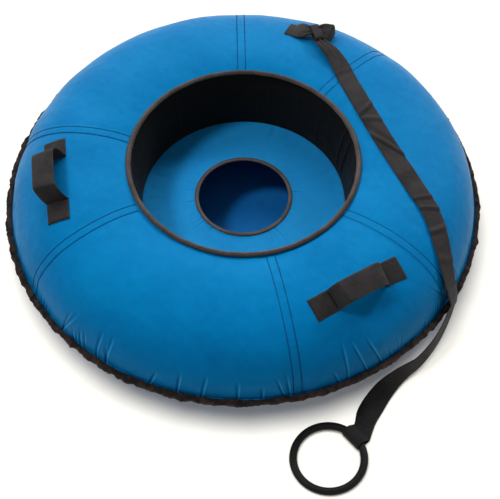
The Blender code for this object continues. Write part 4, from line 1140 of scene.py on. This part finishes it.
def between(points, counts):
    # a polyline with the given count of steps in each stretch
    parts = [np.linspace(a, b, n + 1)[:-1] for a, b, n in zip(points[:-1], points[1:], counts)]
    return np.vstack([*parts, points[-1:]])


def easedEnds(along, ends):
    # 1 along the middle, fading out towards both ends
    first, last = ends
    return ease(along, *first) * ease(along[-1] - along, *last)


def wallRadius(height):
    share = (height - well["waistHeight"]) / (well["mouthHeight"] - well["waistHeight"])
    straight = well["waist"] + (cover["mouth"] - well["waist"]) * share
    return straight - well["bulge"] * 4 * share * (1 - share)


def addWall():
    heights = np.linspace(well["mouthHeight"], well["waistHeight"], well["wallSteps"])
    fins = [fin * math.sqrt(0.5) for fin in well["wallFin"]]
    line = [(cover["mouth"] - fin - well["finRoom"], well["mouthHeight"] + fin - well["finRoom"])
            for fin in fins]
    line += [(wallRadius(height) - well["wallRoom"], height) for height in heights]
    line += [(well["waist"] - well["wallRoom"], height) for height in well["wallFoot"]]
    def lift(points, azimuth, along):
        pulls = well["wallPull"] * np.maximum(wallPulls(azimuth), 0) ** 2
        swell = well["wallSwell"] * np.abs(seatSwell(points))
        return -(pulls + swell) * easedEnds(along, well["wallEases"])
    turnedSkin("innerWall", line, lift, well["cloth"], False, well["columns"], "wallCloth", "wall_cloth",
               "inner_wall")


def addSeat():
    edge, edgeHeight = well["seatEdge"]
    bend = [(well["waist"] - well["seatRoom"] - back, height) for back, height in well["seatBend"]]
    line = between(np.array([*bend, (well["hole"] + edge, edgeHeight)]), well["seatSteps"])
    def lift(points, azimuth, along):
        place, wide = well["seatPullAt"]
        pulls = well["seatPull"] * np.maximum(seatPulls(azimuth), 0) ** 2 * hill(along - place, wide)
        hole = (well["holePull"] * np.maximum(seatPulls(azimuth * 2 + 1), 0) ** 2
                * hill(along[-1] - along, well["holePullWide"]))
        share = (along - well["seatSagFrom"]) / (along[-1] - well["seatSagFrom"])
        sag = well["seatSag"] * np.sin(np.clip(share, 0, 1) * math.pi)
        swell = well["seatSwell"] * seatSwell(points)
        return (swell - sag - pulls - hole) * easedEnds(along, well["seatEases"])
    turnedSkin("seatDisc", line, lift, well["cloth"], True, well["columns"], "seatCloth", "blue_cloth",
               "seat_disc", True)


def addBottom():
    angle = np.linspace(0, math.pi / 2, well["bowlSteps"])
    bowl = np.stack([cover["floorOuter"] + well["bottomReach"] * np.cos(angle),
                     cover["seam"] * (1 - np.sin(angle))], axis=1)
    floor = [(radius, 0.0) for radius in np.linspace(cover["floorOuter"], 0, well["floorSteps"])[1:]]
    fin = np.array(well["bottomFin"]) + (hem["root"], 0.0)
    line = np.vstack([fin, bowl[1:], floor])
    line[:, 1] = np.maximum(line[:, 1], well["floorLift"])
    def lift(points, azimuth, along):
        fromHem = np.maximum(along - well["hemFrom"], 0)
        bowlOnly = ease(fromHem, 0.0, well["bowlEase"]) * (1 - ease(line[:, 1], well["flatBelow"], 0.0))
        swell = (well["bottomSwell"] * (bottomSwell(points) - well["bottomDrop"])
                 + well["bottomRipple"] * clothRipple(points))
        folds = np.minimum(tuckFold(azimuth, fromHem)[0], 0) * ease(fromHem, 0, well["foldEase"])
        return np.minimum(swell * bowlOnly, well["bottomMost"]) + folds
    turnedSkin("bottomCover", line, lift, well["bottomCloth"], False, well["bottomColumns"], "bottomCloth",
               "blue_cloth", "bottom_cover", True)


addWall()
addSeat()
addBottom()
print("snow tube: the wall, the seat and the bottom are made")

# The handles: turn is in degrees, height and lean are the loop's, and fold says which end folds sharply.
handles = {
    "leftHandle": {"node": "left_handle", "azimuth": 187.3, "radius": 0.4275, "turn": 0.0, "height": 0.044,
                   "lean": 0.026, "narrow": 0.04, "fold": -1},
    "rightHandle": {"node": "right_handle", "azimuth": 305.9, "radius": 0.4225, "turn": -4.4, "height": 0.041,
                    "lean": 0.016, "narrow": 0.13, "fold": 1}}
handleShape = {"length": 0.229, "tab": 0.055, "tabRows": 9, "lift": 0.0005, "across": 17, "steps": 5,
               "profile": [(-1, 0), (-1.02, 0.25), (-0.97, 0.62), (-0.86, 0.93), (-0.76, 1.0), (-0.40, 1.0),
                           (0, 1.0), (0.40, 1.0), (0.75, 0.97), (0.95, 0.80), (1.03, 0.45), (1.02, 0.15),
                           (1, 0)]}
# The tow handle's edges, nearest the mouth and farthest from it: along, outward, and up from the cover.
towLoop = {"centre": (0.1558, 0.3954, 0.0), "along": (0.9304, -0.3665, 0.0), "out": (0.3665, 0.9304, 0.0),
           "near": [(-0.054, -0.0255, 0.0005), (-0.046, -0.0255, 0.0005), (-0.038, -0.0262, 0.0005),
                    (-0.033, -0.0270, 0.0010), (-0.022, -0.0285, 0.0030), (-0.006, -0.0280, 0.0090),
                    (0.010, -0.0225, 0.0200), (0.0225, -0.0175, 0.0295), (0.031, -0.019, 0.022),
                    (0.039, -0.020, 0.016), (0.048, -0.018, 0.016), (0.054, -0.018, 0.013),
                    (0.056, -0.021, 0.006), (0.055, -0.0245, 0.001), (0.048, -0.0255, 0.0005)],
           "far": [(-0.054, 0.0255, 0.0005), (-0.046, 0.0255, 0.0005), (-0.038, 0.0255, 0.0010),
                   (-0.033, 0.0250, 0.0070), (-0.022, 0.0230, 0.0150), (-0.006, 0.0150, 0.0220),
                   (0.010, 0.0040, 0.0290), (0.0225, -0.0045, 0.0305), (0.026, 0.004, 0.040),
                   (0.035, 0.015, 0.0425), (0.048, 0.021, 0.0425), (0.057, 0.022, 0.0425),
                   (0.059, 0.023, 0.026), (0.058, 0.025, 0.010), (0.048, 0.0255, 0.0005)],
           "steps": 6, "across": 17, "lift": 0.0004, "pleat": 0.0030, "pleats": 2.5, "pinched": 0.73,
           "tabRows": 12}
# Stitched boxes: where they lie across the webbing, and in a large handle's sewn end and the tow handle's
boxes = {"across": (0.10, 0.90), "handleEnd": (0.10, 0.88), "towEnd": (0.12, 0.85), "steps": 24,
         "spacing": 0.0040, "thread": 0.00042}


def webbingGrid(name, node, grid, pleat=0.0):
    # webbing over a grid of points whose first rows lie on the cover; gives the grid of its upper face
    looks = gridNormals(grid)
    looks *= np.sign(looks[:6, :, 2].sum())
    grid = grid + looks * (webbing["thick"] / 2 + pleat)
    made = slab(name, grid, looks, unit(np.gradient(grid, axis=1)))
    finished(made, "webbing", node)
    return grid + looks * (webbing["thick"] / 2 + webbing["threadLift"])


def addHandle(name):
    # a loop between two sewn ends, folded sharply at one of them
    facts = handles[name]
    out = np.append(wayAt(facts["azimuth"])[0], 0.0)
    wide, along = (np.append(way, 0.0) for way in wayAt(facts["azimuth"] + facts["turn"]))
    half = handleShape["length"] / 2
    free, rows = half - handleShape["tab"], handleShape["tabRows"]
    loop = smoothRoute(handleShape["profile"], handleShape["steps"])[1:-1]
    if facts["fold"] > 0:
        loop = loop[::-1] * (-1, 1)
    tab = np.linspace(-half, -free, rows)
    place = np.concatenate([tab, free * loop[:, 0], -tab[::-1]])[:, None, None]
    rise = np.concatenate([np.zeros(rows), np.maximum(loop[:, 1], 0), np.zeros(rows)])[:, None, None]
    width = webbing["width"] - webbing["roundEdges"]
    aside = np.linspace(-0.5, 0.5, handleShape["across"])[None, :, None] * width
    place = place * (1 - facts["narrow"] * np.minimum(rise, 1) * (aside / webbing["width"] + 0.5))
    ground = out * facts["radius"] + wide * aside - along * place
    grid = ground + out * facts["lean"] * rise
    grid[..., 2] = (coverTop(np.hypot(ground[..., 0], ground[..., 1])) + handleShape["lift"]
                    + facts["height"] * rise[..., 0])
    return webbingGrid(name, facts["node"], grid), (rows - 1) / (len(grid) - 1)


def addTowHandle():
    # a loop that the strap's eye pulls together, with its right end standing up as a wing
    near, far = (smoothRoute(towLoop[key], towLoop["steps"]) for key in ("near", "far"))
    share = np.linspace(0, 1, towLoop["across"])[None, :, None]
    place = near[:, None] * (1 - share) + far[:, None] * share
    grid = (np.array(towLoop["centre"]) + np.array(towLoop["along"]) * place[..., :1]
            + np.array(towLoop["out"]) * place[..., 1:2])
    radius = np.hypot(grid[..., 0], grid[..., 1])
    grid[..., 2] = coverTop(radius) + np.maximum(place[..., 2], towLoop["lift"])
    tight = np.clip(1 - np.linalg.norm(far - near, axis=1) / webbing["width"], 0, 1)[:, None, None]
    waves = np.cos((share - 0.5) * math.tau * towLoop["pleats"]) - 1
    pleat = towLoop["pleat"] * tight * waves / towLoop["pinched"]
    return webbingGrid("towHandle", "tow_handle", grid, pleat), towLoop["tabRows"] / (len(grid) - 1)


def boxRows(top, low, high, crossed=True):
    # a sewn box with a cross in it, between two shares of a grid's rows
    def row(a, b):
        shares = np.linspace(0, 1, boxes["steps"])[:, None]
        return np.array([onGrid(top, *place) for place in np.array(a) + (np.array(b) - np.array(a)) * shares])
    left, right = boxes["across"]
    corners = [(low, left), (low, right), (high, right), (high, left)]
    lines = [row(corners[k], corners[(k + 1) % 4]) for k in range(4)]
    if crossed:
        lines += [row(corners[0], corners[2]), row(corners[1], corners[3])]
    return lines


def addHandles():
    rows = []
    for name in handles:
        top, last = addHandle(name)
        low, high = (last * share for share in boxes["handleEnd"])
        rows += boxRows(top, low, high) + boxRows(top, 1 - high, 1 - low)
    top, last = addTowHandle()
    rows += boxRows(top, *(last * share for share in boxes["towEnd"]), False)
    sewRows("handleStitches", rows, boxes["spacing"], boxes["thread"], "blackThread")


# The strap's eye round the tow handle: a flattened loop in the plane of x and y
hitch = {"x": (0.2737, -0.9544, 0.1191), "y": (-0.0328, 0.1145, 0.9929), "z": (-0.9613, -0.2756, 0.0),
         "origin": (0.1741, 0.3764, 0.2742), "halfLength": 0.0245, "halfHeight": 0.0090, "power": 3.0,
         "width": 0.022, "pleat": 0.0008, "pleatPitch": 0.0060, "around": 64, "across": 13}


def addHitch():
    turn = fullTurn(hitch["around"])
    axes = [np.array(hitch[key]) for key in "xyz"]
    line = np.array(hitch["origin"])
    for axis, half, wave in ((axes[0], "halfLength", np.cos(turn)), (axes[1], "halfHeight", np.sin(turn))):
        reach = (hitch[half] + webbing["thick"] / 2) * np.sign(wave) * np.abs(wave) ** (2 / hitch["power"])
        line = line + reach[:, None] * axis
    looks = unit(np.cross(unit(np.roll(line, -1, axis=0) - np.roll(line, 1, axis=0)), axes[2]))
    aside = np.linspace(-0.5, 0.5, hitch["across"]) * (hitch["width"] - webbing["roundEdges"])
    pleat = hitch["pleat"] * np.cos(aside * math.tau / hitch["pleatPitch"])
    middle = line[:, None] + aside[None, :, None] * axes[2] + looks[:, None] * pleat[None, :, None]
    sides = np.broadcast_to(axes[2], middle.shape)
    made = slab("strapHitch", middle, looks[:, None], sides, closedAlong=True)
    finished(made, "webbing", "strap_hitch")


addHandles()
addHitch()
print("snow tube: the handles and the hitch are made")

# The rubber tube and its valve stay as the solids, with better finishes.
solidFinishes = {"inner_tube": "rubber", "valve_base": "rubber", "valve_stem": "brass", "valve_core": "brass",
                 "valve_pin": "brass", "valve_cap": "capPlastic"}
for node, finish in solidFinishes.items():
    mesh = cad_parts[node].data
    mesh.materials.clear()
    mesh.materials.append(finishes[finish])

# Floor and light. Each sun is its azimuth, height and width in degrees, its share of the light on a flat
# table, and whether it lights the tube or the floor.
studio = {"floor": (0.92, 0.89, 0.81), "bounce": 0.42, "glow": 0.09, "world": 0.19, "size": 8, "drop": 0.0003,
          "rough": 0.9, "specular": 0.1, "away": 3,
          "suns": {"left": (180, 59, 12, 0.32, "object"), "back": (105, 46, 40, 0.30, "object"),
                   "rightBack": (50, 36, 14, 0.21, "object"), "above": (225, 81, 34, 0.97, "floor")}}


def seenPlainly(tree):
    # 1 for what the camera sees, also in or through a surface, and 0 for light that bounces
    seen = addNode(tree, "LightPath")
    either = maths(tree, "MAXIMUM", seen["Is Camera Ray"], seen["Is Glossy Ray"])
    return maths(tree, "MAXIMUM", either, seen["Is Transmission Ray"])


def addFloor():
    material, tree, shader = newMaterial("floor")
    plainly, bounce = seenPlainly(tree), (studio["bounce"],) * 3
    fill(tree, shader, {"Roughness": studio["rough"], "Specular IOR Level": studio["specular"],
                        "Base Color": mixColours(tree, plainly, bounce, studio["floor"]),
                        "Emission Color": (1, 1, 1),
                        "Emission Strength": maths(tree, "MULTIPLY", plainly, studio["glow"])})
    size = studio["size"]
    corners = [(x * size, y * size, -studio["drop"]) for x, y in ((-1, -1), (1, -1), (1, 1), (-1, 1))]
    floor = meshObject("floor", corners, [(0, 1, 2, 3)], material)
    return floor


def addSuns(floor):
    for name, (azimuth, height, wide, share, lit) in studio["suns"].items():
        lamp = bpy.data.lights.new(name, "SUN")
        lamp.angle = math.radians(wide)
        lamp.energy = share * math.pi / math.sin(math.radians(height))
        made = addObject(name, lamp)
        way = turned(math.cos(math.radians(height)), math.sin(math.radians(height)), math.radians(azimuth))
        made.location = studio["away"] * way
        made.rotation_euler = Vector(way).to_track_quat("Z", "Y").to_euler()
        shared = bpy.data.collections.new(name + " light")
        shared.objects.link(floor)
        made.light_linking.receiver_collection = shared
        shared.collection_objects[0].light_linking.link_state = "INCLUDE" if lit == "floor" else "EXCLUDE"


def addWorld():
    scene.world = bpy.data.worlds.new("studio")
    scene.world.use_nodes = True
    tree = scene.world.node_tree
    level = maths(tree, "MULTIPLY_ADD", seenPlainly(tree), 1.0 - studio["world"], studio["world"])
    fill(tree, tree.nodes["Background"], {"Strength": level, "Color": (1, 1, 1)})


addSuns(addFloor())
addWorld()
scene.view_settings.view_transform = "Standard"
print("snow tube: done")
